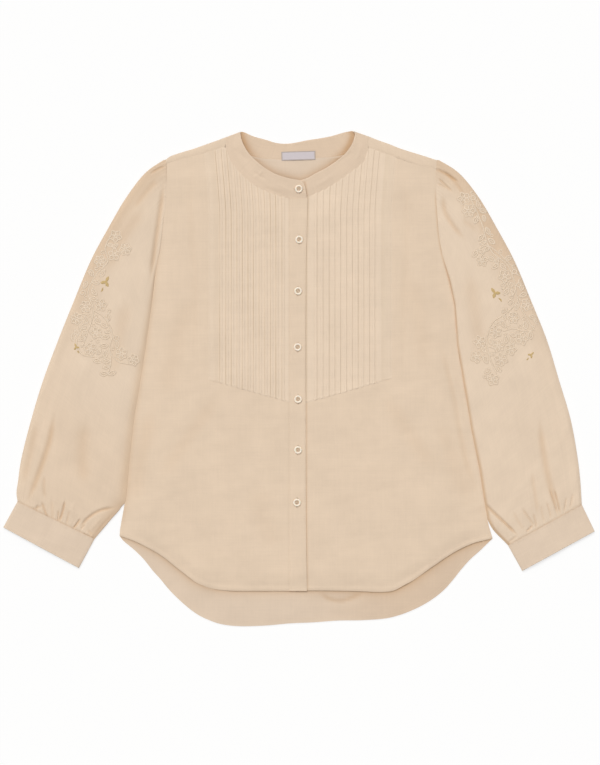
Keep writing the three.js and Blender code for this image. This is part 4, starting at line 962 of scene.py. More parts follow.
def make_back():
    shoulder, neck = 40, 80
    us = np.linspace(0, 1, 2 * shoulder + neck + 1)
    share = shoulder / (2 * shoulder + neck)
    folds = line(SHOULDER_FOLD_LEFT), line(SHOULDER_FOLD_RIGHT)
    seams = line(FORWARD_SEAM_LEFT), line(FORWARD_SEAM_RIGHT)
    head = joined(folds[0], joined(line(BACK_NECK_SEAM), folds[1], neck / (neck + shoulder)), share)
    left = joined(line(SIDE_LEFT), line(ARMHOLE_LEFT), UNDERARM_LEVEL)
    right = joined(line(SIDE_RIGHT), line(ARMHOLE_RIGHT), UNDERARM_LEVEL)
    grid = patch(line(BACK_HEM), head, left, right, us, spaced((0, 0.16, 0.72, 1), (34, 40, 44)))
    last = len(grid) - 1
    inner, outer = heights(grid, back_top(grid[..., 0], grid[..., 1]), SHELL)

    # Places at each shoulder: the fold line, the seam line and the way from one to the other
    columns = np.arange(len(us))
    on_shoulder = (columns <= shoulder) | (columns >= shoulder + neck)
    is_left = columns <= shoulder
    t = np.where(is_left, columns / shoulder, (columns - shoulder - neck) / shoulder)
    fold = np.where(is_left[:, None], folds[0](t), folds[1](t))
    seam = np.where(is_left[:, None], seams[0](t), seams[1](t))
    length = np.linalg.norm(seam - fold, axis=1)
    inward = (seam - fold) / length[:, None]
    reach = FOLD_RADIUS + CLOTH / 2
    flat = fold + inward * reach
    for side, height in ((inner, SHELL), (outer, 0.0)):
        level = np.column_stack([flat, np.full(len(us), height)])
        side[-1] = np.where(on_shoulder[:, None], level, side[-1])

    # Rows that turn over the fold, then rows that run forward to the seam
    rows_outer, rows_inner, rows_uv = [], [], []
    for angle in np.radians(np.arange(20, 181, 20)):
        for rows, radius in ((rows_outer, reach), (rows_inner, reach - SHELL)):
            inset = reach - radius * math.sin(angle)
            height = reach - radius * math.cos(angle)
            rows.append(np.column_stack([fold + inward * inset, np.full(len(us), height)]))
        rows_uv.append(fold - inward * reach * angle / 2)
    for step in np.linspace(0.12, 1, 10):
        inset = mix(reach, length, step)
        point = fold + inward * inset[:, None]
        drape = 0.3 * math.sin(math.pi * step) - 0.1 * ease((step - 0.86) / 0.14)
        top = front_top(point[:, 0], point[:, 1]) + drape
        rows_outer.append(np.column_stack([point, top]))
        rows_inner.append(np.column_stack([point, top - SHELL]))
        rows_uv.append(fold - inward * (reach * 1.6 + inset[:, None]))
    outer = np.concatenate([outer, np.array(rows_outer)])
    inner = np.concatenate([inner, np.array(rows_inner)])
    uv = np.concatenate([grid, np.array(rows_uv)])
    keep = np.ones(uv.shape[:2], bool)
    keep[last + 1:] = on_shoulder
    # Painted shade on the back panel; none on the strips over the shoulders
    shade_paint = np.zeros(uv.shape[:2])
    shade_paint[:last] = clamp(back_painted_shade(grid[..., 0], grid[..., 1]))[:last]
    obj = dress(wall("back_cloth", outer, inner, uv, keep=keep, shade_paint=shade_paint), BACK_COTTON, "back")

    # The strips over the shoulders have the outside's cloth
    obj.data.materials.append(BODY_COTTON)
    centres = np.zeros(len(obj.data.polygons) * 3)
    obj.data.polygons.foreach_get("center", centres)
    centres = centres.reshape(-1, 3) / MM
    outside = (centres[:, 2] > 1.9) & (centres[:, 1] >= 250)
    obj.data.polygons.foreach_set("material_index", outside.astype(int))

    inside = shifted(spread_on(BACK_HEM, 400, 0.01, 0.99), HEM_DEPTH)
    BODY_SEWING.add(np.column_stack([inside, back_top(inside[:, 0], inside[:, 1]) + 0.02]))
    t = np.linspace(0.01, 0.99, 80)
    for fold_line, seam_line in zip(folds, seams):
        gap = seam_line(t) - fold_line(t)
        away = gap / np.linalg.norm(gap, axis=1)[:, None]
        BODY_SEWING.add(on_front(seam_line(t) - away * 2.0, 0.12))
    return obj


# Fronts and bib, by side: columns under the bib, hem line and places along it, foot of the middle
# edge, side line and its ends, armhole, forward seam and its end, foot of the bib
FRONTS = {
    -1: {
        "under": 64, "hem": FRONT_HEM_LEFT, "hem_x": (-252, -150, FRONT_LEFT_EDGE_X),
        "middle": (FRONT_LEFT_EDGE_X, -297.5), "side": SIDE_LEFT[1:], "side_y": (-220.5, 166),
        "armhole": ARMHOLE_LEFT[:7], "seam": FORWARD_SEAM_LEFT, "seam_x": -186.5, "bib_foot": BIB_FOOT_LEFT,
    },
    1: {
        "under": 66, "hem": FRONT_HEM_RIGHT, "hem_x": (FRONT_RIGHT_EDGE_X, 148, 270.5),
        "middle": (FRONT_RIGHT_EDGE_X, -297), "side": SIDE_RIGHT, "side_y": (-224, 171.5),
        "armhole": ARMHOLE_RIGHT[:7], "seam": FORWARD_SEAM_RIGHT, "seam_x": 191.5, "bib_foot": BIB_FOOT_RIGHT,
    },
}
BIBS = {
    -1: {
        "tucks": TUCKS_LEFT, "foot": BIB_FOOT_LEFT, "head": FORWARD_SEAM_LEFT + BAND_SEAM_LEFT[3:],
        "outer_x": BIB_FOOT_LEFT[0][0], "inner_x": FRONT_LEFT_EDGE_X, "shade_paint": TUCK_PAINTED_SHADE_LEFT, "seed": 17,
    },
    1: {
        "tucks": TUCKS_RIGHT, "foot": BIB_FOOT_RIGHT, "head": BAND_SEAM_RIGHT[3:][::-1] + FORWARD_SEAM_RIGHT,
        "outer_x": BIB_FOOT_RIGHT[-1][0], "inner_x": FRONT_RIGHT_EDGE_X, "shade_paint": TUCK_PAINTED_SHADE_RIGHT, "seed": 29,
    },
}
FRONT_BESIDE = 56

# Across one tuck: place from its line and how far it stands up there
TUCK_SECTION = [
    (0.75, 0.0), (0.28, 0.12), (0.1, 0.55), (-0.1, 0.92), (-0.5, 1.0),
    (-1.5, 0.97), (-2.5, 0.86), (-3.3, 0.5), (-3.9, 0.12), (-4.6, 0.0),
]


def front_shell_top(xy):
    """Height of the front's cloth with its rolled side edges and turned-up hem."""
    x, y = xy[..., 0], xy[..., 1]
    side, foot, head = front_edges(x, y)
    below_arm = ease((172 - y) / 14)
    roll = (1 - clamp(side / 1.8)) * below_arm
    top = front_top(x, y)
    edge = np.where(x < 0, SIDE_ROLL_LEFT, SIDE_ROLL_RIGHT)
    top = top - (top - edge) * (1 - np.sqrt(np.maximum(1 - roll ** 2, 0)))
    from_hem = np.full(np.shape(x), 99.0)
    close = foot < 40
    if np.any(close):
        from_hem[close] = nearest_on(HEM_LINE, x[close], y[close])[0]
    past_seam = HEM_DEPTH + 0.6 - from_hem
    turned_up = 0.5 * ease(past_seam / 1.1) - 0.16 * bell(past_seam, 1.3)
    return top + turned_up - 0.7 * ease(1 - from_hem / 1.5)


def seam_dip(distance, depth, width):
    """A shallow groove where the cloth is drawn in by a seam."""
    return -depth * bell(distance, width)


def front_grid(sign):
    """Floor plan of one front beside and below its half of the bib, and which places are cloth."""
    piece = FRONTS[sign]
    left = sign < 0
    under, bib_foot = piece["under"], piece["bib_foot"]
    corner_x, corner_y = bib_foot[0] if left else bib_foot[-1]
    share = (FRONT_BESIDE if left else under) / (FRONT_BESIDE + under)
    start, between, end = piece["hem_x"]
    hem = [line(stretch(piece["hem"], 0, low, high)) for low, high in ((start, between), (between, end))]
    foot = joined(hem[0], hem[1], share)
    side_x = float(read_at(piece["side"], 1, 0, corner_y))
    across = line(sorted([(side_x, corner_y), (corner_x, corner_y)]))
    split = joined(across, line(bib_foot), share) if left else joined(line(bib_foot), across, share)
    low_y, high_y = piece["side_y"]
    side_low = line(stretch(piece["side"], 1, low_y, corner_y))
    side_above = line(stretch(piece["side"], 1, corner_y, high_y))
    side_high = joined(side_above, line(piece["armhole"]), UNDERARM_SHARE)
    middle_x, middle_y = piece["middle"]
    middle = line([(middle_x, middle_y), (middle_x, bib_foot[-1 if left else 0][1])])
    top_x = corner_x + sign * TUCK_LEAN
    top_y = float(read_at(piece["seam"], 0, 1, top_x))
    head = line(stretch(piece["seam"], 0, *sorted((piece["seam_x"], top_x))))

    def bib_side(t):
        y = mix(corner_y, top_y, np.asarray(t, float))
        return np.stack([corner_x + lean(corner_x, y, sign), y], -1)

    low_edges = (side_low, middle) if left else (middle, side_low)
    high_edges = (side_high, bib_side) if left else (bib_side, side_high)
    us = np.linspace(0, 1, FRONT_BESIDE + under + 1)
    low = patch(foot, split, *low_edges, us, spaced((0, 0.08, 1), (10, 86)))
    high = patch(across, head, *high_edges, np.linspace(0, 1, FRONT_BESIDE + 1), np.linspace(0, 1, 111))
    columns = slice(0, FRONT_BESIDE + 1) if left else slice(under, None)
    above = np.zeros((len(high) - 1, len(us), 2))
    above[:, columns] = high[1:]
    grid = np.concatenate([low, above])
    keep = np.zeros(grid.shape[:2], bool)
    keep[:len(low)] = True
    keep[:, columns] = True
    return grid, keep


def beside_placket(x, y):
    """Painted shade on the right front just beside the placket's free edge."""
    return PLACKET_PAINTED_SHADE * bell(x - read_at(PLACKET_EDGE, 1, 0, y) - 0.3, 1.5)


def bib_edge_distance(x, y, sign):
    """Distance outside a bib half's outer side and below its foot."""
    rows = BIBS[sign]["foot"]
    corner_x, corner_y = rows[0] if sign < 0 else rows[-1]
    out = sign * (x - corner_x - lean(corner_x, y, sign))
    below = (read_at(rows, 0, 1, x) - y) * 0.965
    beyond = np.where(out > 0, np.hypot(out, np.maximum(corner_y - y, 0)), below)
    return np.where(y < corner_y, beyond, out)


def make_front(name, node, sign):
    grid, keep = front_grid(sign)
    x, y = grid[..., 0], grid[..., 1]
    side, _, head = front_edges(x, y)
    top = front_shell_top(grid) + seam_dip(bib_edge_distance(x, y, sign), 0.1, 1.2) + seam_dip(head, 0.1, 1.2)
    top = top + np.where(y > 175, seam_dip(side, np.where(x < 0, 0.12, 0.3), 1.6), 0)
    outer, inner = heights(grid, top, SHELL)
    # Painted shade in the valleys beside the sleeves, in the creases and beside the placket
    valley = VALLEY_PAINTED_SHADE_LEFT * bell(side, 5) * ease((y + 215) / 30) * ease((205 - y) / 60) * (x < 0)
    valley += VALLEY_PAINTED_SHADE_RIGHT * bell(side, 1.8) * ease((y - 100) / 40) * ease((268 - y) / 20) * (x > 0)
    shade_paint = clamp(-creases(x, y, FRONT_CREASES) / 2.6) * 0.5 + beside_placket(x, y) + valley
    return dress(wall(name, outer, inner, grid, keep=keep, shade_paint=shade_paint), BODY_COTTON, node)


def bib_columns(tucks, outer_x, inner_x, sign):
    """Places across the bib and how far each stands up, finer at each tuck."""
    places = [(x + sign * step, raised) for x in tucks for step, raised in TUCK_SECTION]
    first = min(tucks, key=lambda v: abs(v - outer_x))
    last = max(tucks, key=lambda v: abs(v - outer_x))
    ends = [outer_x]
    ends += [mix(outer_x, first + sign * 0.75, share) for share in np.linspace(0.12, 0.9, 9)]
    ends += [mix(last - sign * 4.6, inner_x, share) for share in np.linspace(0.12, 1, 12)]
    return np.array(sorted(places + [(x, 0.0) for x in ends]))


def head_meeting(x, head_rows, sign):
    """Height at which a line that starts at x and leans meets the head seam."""
    y = np.full(np.shape(x), 300.0)
    for _ in range(14):
        y = read_at(head_rows, 0, 1, x + lean(x, y, sign))
    return y


def make_bib(name, node, sign):
    piece = BIBS[sign]
    tucks, foot_rows, head_rows, outer_x = piece["tucks"], piece["foot"], piece["head"], piece["outer_x"]
    columns = bib_columns(tucks, outer_x, piece["inner_x"], sign)
    x0, raised = columns[:, 0], columns[:, 1]
    foot_y = read_at(foot_rows, 0, 1, x0)
    head_y = head_meeting(x0, head_rows, sign)
    steps = spaced((0, 0.016, 0.97, 1), (8, 100, 6))
    y = mix(foot_y[None], head_y[None], steps[:, None])
    x = x0[None] + lean(x0[None], y, sign)
    grid = np.stack([x, y], -1)
    uneven = 1 + 0.1 * np.sin(y / 23 + x0[None] * 1.3) + 0.06 * np.sin(y / 9 + x0[None] * 2.1)
    ends = ease((y - foot_y[None]) / 3 + 0.25) * ease((head_y[None] - y) / 3 + 0.3)
    top = front_shell_top(grid) + TUCK_RISE * raised[None] * uneven * ends
    soft = sign * (x0[None] - outer_x)
    top = top + 0.3 * bell(soft + 7.5, 2.2) + seam_dip(soft, 0.15, 1.2)
    from_foot = y - foot_y[None]
    top = top + 0.26 * ease(1 - np.abs(from_foot - 1.5) / 2.0) + seam_dip(head_y[None] - y, 0.1, 1.2)
    outer, inner = heights(grid, top, SHELL)
    # Painted shade on each tuck's steep side, near the bib's outer side and beside the placket
    steep = np.zeros(len(x0))
    rng = random.Random(piece["seed"])
    for tuck in tucks:
        steep = np.maximum(steep, rng.uniform(*piece["shade_paint"]) * bell(x0 - tuck - sign * 0.1, 0.42))
    along_tuck = 0.72 + 0.28 * np.sin(y / 37 + x0[None] * 0.9)
    from_side = np.abs(x0 - outer_x)
    plain_side = (0.05 + 0.16 * from_side / 15) * (from_side < 15)
    shade_paint = clamp(steep[None] * along_tuck * ends + beside_placket(x, y) + plain_side[None])
    obj = dress(wall(name, outer, inner, grid, shade_paint=shade_paint), BIB_COTTON, node)

    # Stitches along each tuck, the foot and the outer side
    t = np.linspace(0.01, 0.99, 60)
    for tuck in tucks:
        start_x = tuck - sign * 3.5
        low_y = float(read_at(foot_rows, 0, 1, start_x))
        line_y = mix(low_y, float(head_meeting(start_x, head_rows, sign)), t)
        path = np.stack([start_x + lean(start_x, line_y, sign), line_y], -1)
        BIB_SEWING.add(np.column_stack([path, front_shell_top(path) + TUCK_RISE * 0.5]), radius=0.14)
    foot = np.stack([x0, foot_y + 2.2], -1)[1:-1]
    BIB_SEWING.add(np.column_stack([foot, front_shell_top(foot) + 0.35]))
    edge = 0 if sign < 0 else -1
    side_y = mix(foot_y[edge], head_y[edge], np.linspace(0.01, 0.99, 120))
    side = np.stack([outer_x - sign * 2 + lean(outer_x, side_y, sign), side_y], -1)
    BIB_SEWING.add(np.column_stack([side, front_shell_top(side) + 0.05]))
    return obj


# Placket over the right front
def placket_top(x, y):
    """Height of the placket: it steps up from its seam and rounds off at its free edge."""
    right = read_at(PLACKET_EDGE, 1, 0, y)
    from_left = x - PLACKET_LEFT_X
    over = 0.3 + PLACKET_OVER * ease(from_left / 3.5)
    soft = 0.1 * np.sin(y / 31) * ease(from_left / 6)
    lip = -0.22 * (1 - np.sqrt(np.maximum(1 - (1 - clamp((right - x) / 0.9)) ** 2, 0)))
    return front_top(x, y) + over + soft + lip


def make_placket():
    ys = np.linspace(PLACKET_FOOT_Y, PLACKET_HEAD_Y, 240)
    shares = spaced((0, 0.2, 0.9, 1), (7, 14, 7))
    right = read_at(PLACKET_EDGE, 1, 0, ys)
    x = mix(PLACKET_START_X, right[:, None], shares[None])
    y = np.repeat(ys[:, None], len(shares), 1)
    grid = np.stack([x, y], -1)
    outer, inner = heights(grid, placket_top(x, y), PLACKET_SHELL)
    obj = dress(wall("placket_cloth", outer, inner, grid), PLACKET_COTTON, "placket")
    for path_x in (right - 2.0, np.full(len(ys), PLACKET_LEFT_X + 1.6)):
        path = np.stack([path_x, ys], -1)[1:-1]
        BODY_SEWING.add(np.column_stack([path, placket_top(path[:, 0], path[:, 1]) + 0.02]))
    return obj


# Collar band
BAND_CREASES = [
    ([(-92, 322), (-80, 312), (-70, 304)], 3.0, -0.5),
    ([(-64, 290), (-55, 283), (-46, 279)], 1.7, -0.7),
    ([(-66, 280), (-56, 286), (-50, 292)], 1.7, 0.5),
    ([(-50, 268), (-38, 263), (-26, 259)], 1.8, -0.45),
    ([(52, 300), (64, 309), (76, 318)], 3.0, -0.45),
    ([(20, 268), (34, 276), (48, 286)], 2.5, 0.4),
    ([(86, 330), (84, 316), (78, 304)], 2.6, 0.4),
    ([(-34, 272), (-22, 268), (-12, 262)], 2.0, 0.35),
]


def band_fold(seam, edge, sign, angles):
    """Places round the band's fold at one shoulder."""
    radius = (BAND_FRONT_Z - BAND_BACK_Z) / 2
    reach = radius + BAND_CLOTH / 2
    across = (edge - seam) / np.linalg.norm(edge - seam)
    out = np.array([-across[1], across[0]]) * -sign
    places = []
    for angle in np.radians(angles):
        shift = out * (-reach + radius * math.sin(angle))
        level = BAND_BACK_Z + radius + radius * math.cos(angle)
        normal = np.array([out[0] * math.sin(angle), out[1] * math.sin(angle), math.cos(angle)])
        places.append((seam + shift, edge + shift, level, normal))
    return places


def band_places():
    """Along the band from its right end round the neck: place on the seam and on the edge, height
    and the way the outer face looks."""
    seam_right, edge_right = line(BAND_SEAM_RIGHT), line(BAND_EDGE_RIGHT)
    seam_left, edge_left = line(BAND_SEAM_LEFT), line(BAND_EDGE_LEFT)
    seam_back, edge_back = line(BACK_NECK_SEAM), line(BACK_BAND_TOP)
    up = np.array([0, 0, 1.0])
    turns = np.arange(0, 181, 15)
    on_front = np.arange(1, BAND_FRONT_STEPS + 1) / BAND_FRONT_STEPS
    on_back = np.arange(BAND_BACK_STEPS - 1, 0, -1) / BAND_BACK_STEPS
    places = [(seam_right(t), edge_right(t), BAND_FRONT_Z, up) for t in on_front[::-1]]
    places += band_fold(seam_right(0.0), edge_right(0.0), 1, turns)
    places += [(seam_back(t), edge_back(t), BAND_BACK_Z, -up) for t in on_back]
    places += band_fold(seam_left(0.0), edge_left(0.0), -1, turns[::-1])
    for t in on_front:
        seam = seam_left(t)
        lift = float(ease((seam[0] + 55) / 28))
        places.append((seam, edge_left(t), mix(BAND_FRONT_Z, BAND_OVER_Z, lift), up))
    return places


def make_band():
    stations = band_places()
    total, front_steps = len(stations), BAND_FRONT_STEPS
    front_length = line(BAND_SEAM_LEFT).length
    runs = run_along(np.array([(seam + edge) / 2 for seam, edge, _, _ in stations]))
    shares = np.concatenate([[0, 0.02, 0.05, 0.1], np.linspace(0.16, 0.86, 16), [0.92, 0.96, 0.985, 1]])
    lip = np.sqrt(np.maximum(1 - (1 - clamp((1 - shares) / 0.045)) ** 2, 0.09))
    lip = lip * np.sqrt(np.maximum(1 - 0.6 * (1 - clamp(shares / 0.045)) ** 2, 0.09))
    stand = np.zeros(total)
    for k in range(front_steps):
        share = (k + 1) / front_steps
        lifted = float(ease(share / 0.16)) * mix(1.0, 0.4, float(ease((share - 0.55) / 0.45)))
        stand[front_steps - 1 - k] = BAND_UNDER_STAND * lifted
        stand[total - front_steps + k] = lifted
    outer, inner, uv = [], [], []
    for k, (seam, edge, mid_z, normal) in enumerate(stations):
        from_end = (total - 1 - k) * front_length / front_steps
        rounding = max(0.0, 1 - from_end / BAND_END_ROUND)
        shorten = BAND_END_ROUND * (1 - math.sqrt(1 - rounding ** 2))
        length = np.linalg.norm(edge - seam)
        direction = (edge - seam) / length
        usable = length + BAND_LAP - shorten
        flat = seam + direction * (shares[:, None] * usable - BAND_LAP)
        half = BAND_HALF * lip
        bulge = 0.12 * np.sin(np.pi * shares)
        level = mid_z + BAND_STAND * stand[k] * shares ** 1.6
        if k < front_steps or k >= total - front_steps:
            over = k >= total - front_steps
            below = seam + (seam - edge) / length * 1.5
            seam_z = float(front_top(np.array([below[0]]), np.array([below[1]]))[0]) + 0.12 - BAND_HALF
            if over:
                seam_z += PLACKET_OVER * float(ease((seam[0] - PLACKET_LEFT_X + 3) / 5))
            from_fold = (k - total + front_steps + 1 if over else front_steps - k) / front_steps
            held = (1 - ease(shares / 0.4)) * float(ease(from_fold / 0.12))
            level = level * (1 - held) + seam_z * held
            level = level + creases(flat[:, 0], flat[:, 1], BAND_CREASES)
        base = np.column_stack([flat, level])
        outer.append(base + normal[None] * (half + bulge)[:, None])
        inner.append(base - normal[None] * half[:, None])
        uv.append(np.column_stack([np.full(len(shares), runs[k]), shares * length]))
    outer, inner, uv = np.array(outer), np.array(inner), np.array(uv)
    # Painted shade on the band's back face round the neck, and on the under end along the edge of the end
    # that laps over it
    on_back = np.array([normal[2] < 0 for _, _, _, normal in stations])
    shade_paint = clamp(np.where(on_back[:, None], neck_painted_shade(inner[..., 0], inner[..., 1]) + 0.12, 0))
    below_end = np.arange(total)[:, None] < front_steps
    from_end = nearest_on(BAND_END_LINE, outer[..., 0], outer[..., 1])[0]
    shade_paint = shade_paint + np.where(below_end, BAND_END_PAINTED_SHADE * bell(from_end, 1.5), 0)
    obj = dress(wall("band_cloth", outer, inner, uv, shade_paint=shade_paint), BAND_COTTON, "collar_band")
    visible_up = np.array([normal[2] > 0.5 for _, _, _, normal in stations])[2:-3]
    for column, side in ((3, outer), (-5, outer), (3, inner), (-5, inner)):
        path = side[2:-3, column]
        wanted = visible_up if side is outer else ~visible_up
        runs = np.split(np.arange(len(path)), np.where(np.diff(wanted.astype(int)) != 0)[0] + 1)
        for piece in runs:
            if wanted[piece[0]] and len(piece) > 8:
                BAND_SEWING.add(path[piece])
    return obj


# Sleeves and cuffs: flattened tubes
def ring_profile(top_steps, floor_steps):
    """Places round a flattened tube: share across, the kind of stretch and its angle at an edge."""
    angles = np.radians(np.arange(20, 180, 20))
    floor = [(s, "floor", 0.0) for s in np.linspace(0, 1, floor_steps)]
    inner_edge = [(1.0, "inner_edge", a) for a in angles]
    top = [(s, "top", 0.0) for s in np.linspace(1, 0, top_steps)]
    outer_edge = [(0.0, "outer_edge", math.pi - a) for a in angles]
    return floor + inner_edge + top + outer_edge


def ring_points(profile, width, outer_high, inner_high, top):
    """Distance across and height for each place, on the outer face and on the inner one."""
    out, k = [], 0
    at_outer, at_inner = outer_high / 2, inner_high / 2
    for share, kind, angle in profile:
        s = mix(at_outer, width - at_inner, share)
        if kind == "floor":
            out.append((s, 0.0, s, SHELL))
        elif kind == "top":
            out.append((s, top[k], s, top[k] - SHELL))
            k += 1
        else:
            radius = at_inner if kind == "inner_edge" else at_outer
            centre, sign = (width - radius, 1) if kind == "inner_edge" else (radius, -1)
            small = radius - SHELL
            out.append((centre + sign * radius * math.sin(angle), radius - radius * math.cos(angle),
                        centre + sign * small * math.sin(angle), radius - small * math.cos(angle)))
    return np.array(out)


def sleeve_top(along, share, width, shape):
    """Height of a sleeve's upper layer across one row, from its outer side to its inner side."""
    outer_high, inner_high = shape["outer_high"], shape["inner_high"]
    from_outer, from_inner = share * width, (1 - share) * width
    level = shape["crown"] + 0.7 * np.sin(np.pi * clamp(share))
    level = level - shape["rim"] * bell(from_outer - 15, 9)
    full = level - (level - outer_high) * np.exp(-from_outer / shape["outer_run"])
    full = full - (level - inner_high) * np.exp(-from_inner / shape["inner_run"])
    start = mix(outer_high, inner_high, share)
    rise = float(ease((along + 0.015) / 0.15))
    near_cuff = 1 - float(ease((1 - along) / 0.07))
    top = start + (full - start) * rise
    return top - (top - 4.3) * 0.9 * near_cuff * ease(from_outer / 6) * ease(from_inner / 6)


def puckers(along, share, seed):
    """Short fine gathers held in the two seams of a sleeve."""
    rng = random.Random(seed)
    total = np.zeros_like(share)
    for distance, count, reach, depth in ((1 - along, 34, 0.045, 0.5), (along, 22, 0.04, 0.3)):
        for k in range(count):
            centre = (k + rng.uniform(0.2, 0.8)) / count
            wide = rng.uniform(0.006, 0.014)
            own = reach * rng.uniform(0.5, 1.5)
            total += depth * rng.uniform(0.4, 1.0) * bell(distance, own) * bell(share - centre, wide)
    return total


def beside_body(points, shape):
    """Moves a sleeve's inner line up to the side of the body where they touch."""
    rows = BODY_EDGE_LEFT if shape["sign"] < 0 else BODY_EDGE_RIGHT
    x, y = points[:, 0], points[:, 1]
    body_x = read_at(rows, 1, 0, y) - shape["lap"]
    return np.stack([mix(x, body_x, ease((y - shape["lap_to_y"]) / 9 + 0.5)), y], -1)


def make_sleeve(name, node, sections, armhole, shape, rows):
    outer_line = line([(row[0], row[1]) for row in sections])
    inner_line = line([(row[2], row[3]) for row in sections])
    armhole_line = line([(x + shape["sign"] * 0.06, y) for x, y in armhole])
    outer_start, inner_start = armhole_line(1.0), armhole_line(0.0)
    outer_high, inner_high, seed = shape["outer_high"], shape["inner_high"], shape["seed"]
    alongs = spaced((0, 0.1, 0.8, 1), (22, 66, 64))
    inner_points = beside_body(inner_line(alongs), shape)
    profile = ring_profile(SLEEVE_COLUMNS, SLEEVE_FLOOR_COLUMNS)
    kinds = np.array([kind for _, kind, _ in profile])
    shares = np.linspace(1, 0, SLEEVE_COLUMNS)
    outer_points = outer_line(alongs)
    outer_points[0], inner_points[0] = outer_start, inner_start
    runs = run_along((outer_points + inner_points) / 2)
    outer, inner, uv, shade_paint = [], [], [], []
    for along, a, b, run in zip(alongs, outer_points, inner_points, runs):
        width = float(np.linalg.norm(b - a))
        bow = 1 - float(ease(along / 0.2))

        def place(s):
            share = clamp(s / width)[:, None]
            held = armhole_line(1 - share[:, 0])
            straight = mix(outer_start, inner_start, share)
            return mix(a, b, (s / width)[:, None]) + bow * (held - straight)

        xy = place(mix(outer_high / 2, width - inner_high / 2, shares))
        from_outer, from_inner = shares * width, (1 - shares) * width
        inside = ease(from_outer / 5) * ease(from_inner / shape["inner_ease"])
        folds = creases(xy[:, 0], xy[:, 1], rows)
        extra = folds + puckers(float(along), shares, seed) + rumple(xy[:, 0], xy[:, 1], seed, 0.1)
        seam_dips = 0.25 * bell(along, 0.004) + 0.6 * bell(1 - along, 0.003)
        top = sleeve_top(float(along), shares, width, shape) + inside * extra - seam_dips
        top = np.maximum(top, SLEEVE_LOWEST)
        # Painted shade along the upper outer edge, at the inner side, low down, in creases and at the cuff
        # seam
        painted_dark = EDGE_PAINTED_SHADE * bell(max(0.0, along - 0.3), 0.22) * bell(from_outer, 26)
        painted_dark = painted_dark + shape["inner_painted_shade"] * bell(from_inner, shape["inner_width"])
        painted_dark = painted_dark + shape["low_painted_shade"] * ease((along - 0.5) / 0.3)
        painted_dark = clamp(painted_dark + clamp(-inside * folds / 2.6) * 0.8 + SEAM_PAINTED_SHADE * bell(1 - along, 0.003))
        row_painted_shade = np.zeros(len(profile))
        row_painted_shade[kinds == "top"] = painted_dark
        row_painted_shade[kinds == "outer_edge"] = painted_dark[-1]
        row_painted_shade[kinds == "inner_edge"] = painted_dark[0]
        shade_paint.append(row_painted_shade)
        points = ring_points(profile, width, outer_high, inner_high, top)
        outer.append(np.column_stack([place(points[:, 0]), points[:, 1]]))
        inner.append(np.column_stack([place(points[:, 2]), points[:, 3]]))
        uv.append(np.column_stack([points[:, 0], np.full(len(points), run)]))
    obj = wall(name, np.array(outer), np.array(inner), np.array(uv), around=True, shade_paint=np.array(shade_paint))
    return dress(obj, SLEEVE_COTTON, node)


def make_cuff(name, node, sections, seed):
    (ox0, oy0, ix0, iy0), (ox1, oy1, ix1, iy1) = sections
    profile = ring_profile(CUFF_COLUMNS, CUFF_FLOOR_COLUMNS)
    alongs = spaced((0.001, 0.12, 0.88, 1), (10, 16, 12))
    shares = np.linspace(1, 0, CUFF_COLUMNS)
    outer, inner, uv = [], [], []
    for along in alongs:
        a = np.array([mix(ox0, ox1, along), mix(oy0, oy1, along)])
        b = np.array([mix(ix0, ix1, along), mix(iy0, iy1, along)])
        width = float(np.linalg.norm(b - a))
        top = CUFF_EDGE + (CUFF_HEIGHT - CUFF_EDGE) * np.sin(np.pi * shares) ** 0.3
        top = top + 0.22 * np.sin(shares * 9 + seed + along * 3) * math.sin(math.pi * along)
        top = top + 0.3 * bell(1 - along, 0.05) + 0.12 * bell(along - 0.02, 0.05)
        rounding = max(0.0, 1 - (1 - along) / 0.022)
        top = top - 0.8 * (1 - math.sqrt(1 - rounding ** 2))
        top = top + 0.14 * np.sin(shares * 88 + seed + 2 * np.sin(shares * 13)) * bell(along, 0.12)
        top_x, top_y = mix(a[0], b[0], 1 - shares), mix(a[1], b[1], 1 - shares)
        top = top + rumple(top_x, top_y, 5 + int(seed), 0.09) * np.sin(np.pi * shares) ** 0.4
        points = ring_points(profile, width, CUFF_EDGE, CUFF_EDGE, top)

        def place(s):
            return mix(a, b, (s / width)[:, None])

        outer.append(np.column_stack([place(points[:, 0]), points[:, 1]]))
        inner.append(np.column_stack([place(points[:, 2]), points[:, 3]]))
        uv.append(np.column_stack([points[:, 0], np.full(len(points), along * CUFF_LENGTH)]))
    outer, inner, uv = np.array(outer), np.array(inner), np.array(uv)
    # Painted shade along the seam with the sleeve
    shade_paint = np.repeat(SEAM_PAINTED_SHADE * bell(alongs[:, None], 0.02), outer.shape[1], 1)
    obj = dress(wall(name, outer, inner, uv, around=True, shade_paint=shade_paint), CUFF_COTTON, node)
    top_columns = [k for k, (_, kind, _) in enumerate(profile) if kind == "top"]
    for target in (0.06, 0.93):
        row = int(np.argmin(np.abs(alongs - target)))
        CUFF_SEWING.add(outer[row][top_columns][2:-2] + np.array([0, 0, 0.02]))
    return obj


# Buttons. The section runs from the middle below to the middle above: share of radius and of height.
BUTTON_SECTION = [
    (0.0, 0.0), (0.7, 0.0), (0.86, 0.06), (0.97, 0.22), (1.0, 0.45), (0.985, 0.7),
    (0.93, 0.9), (0.84, 1.0), (0.73, 1.0), (0.64, 0.95), (0.57, 0.82), (0.52, 0.66),
    (0.46, 0.56), (0.34, 0.52), (0.15, 0.5), (0.0, 0.5),
]


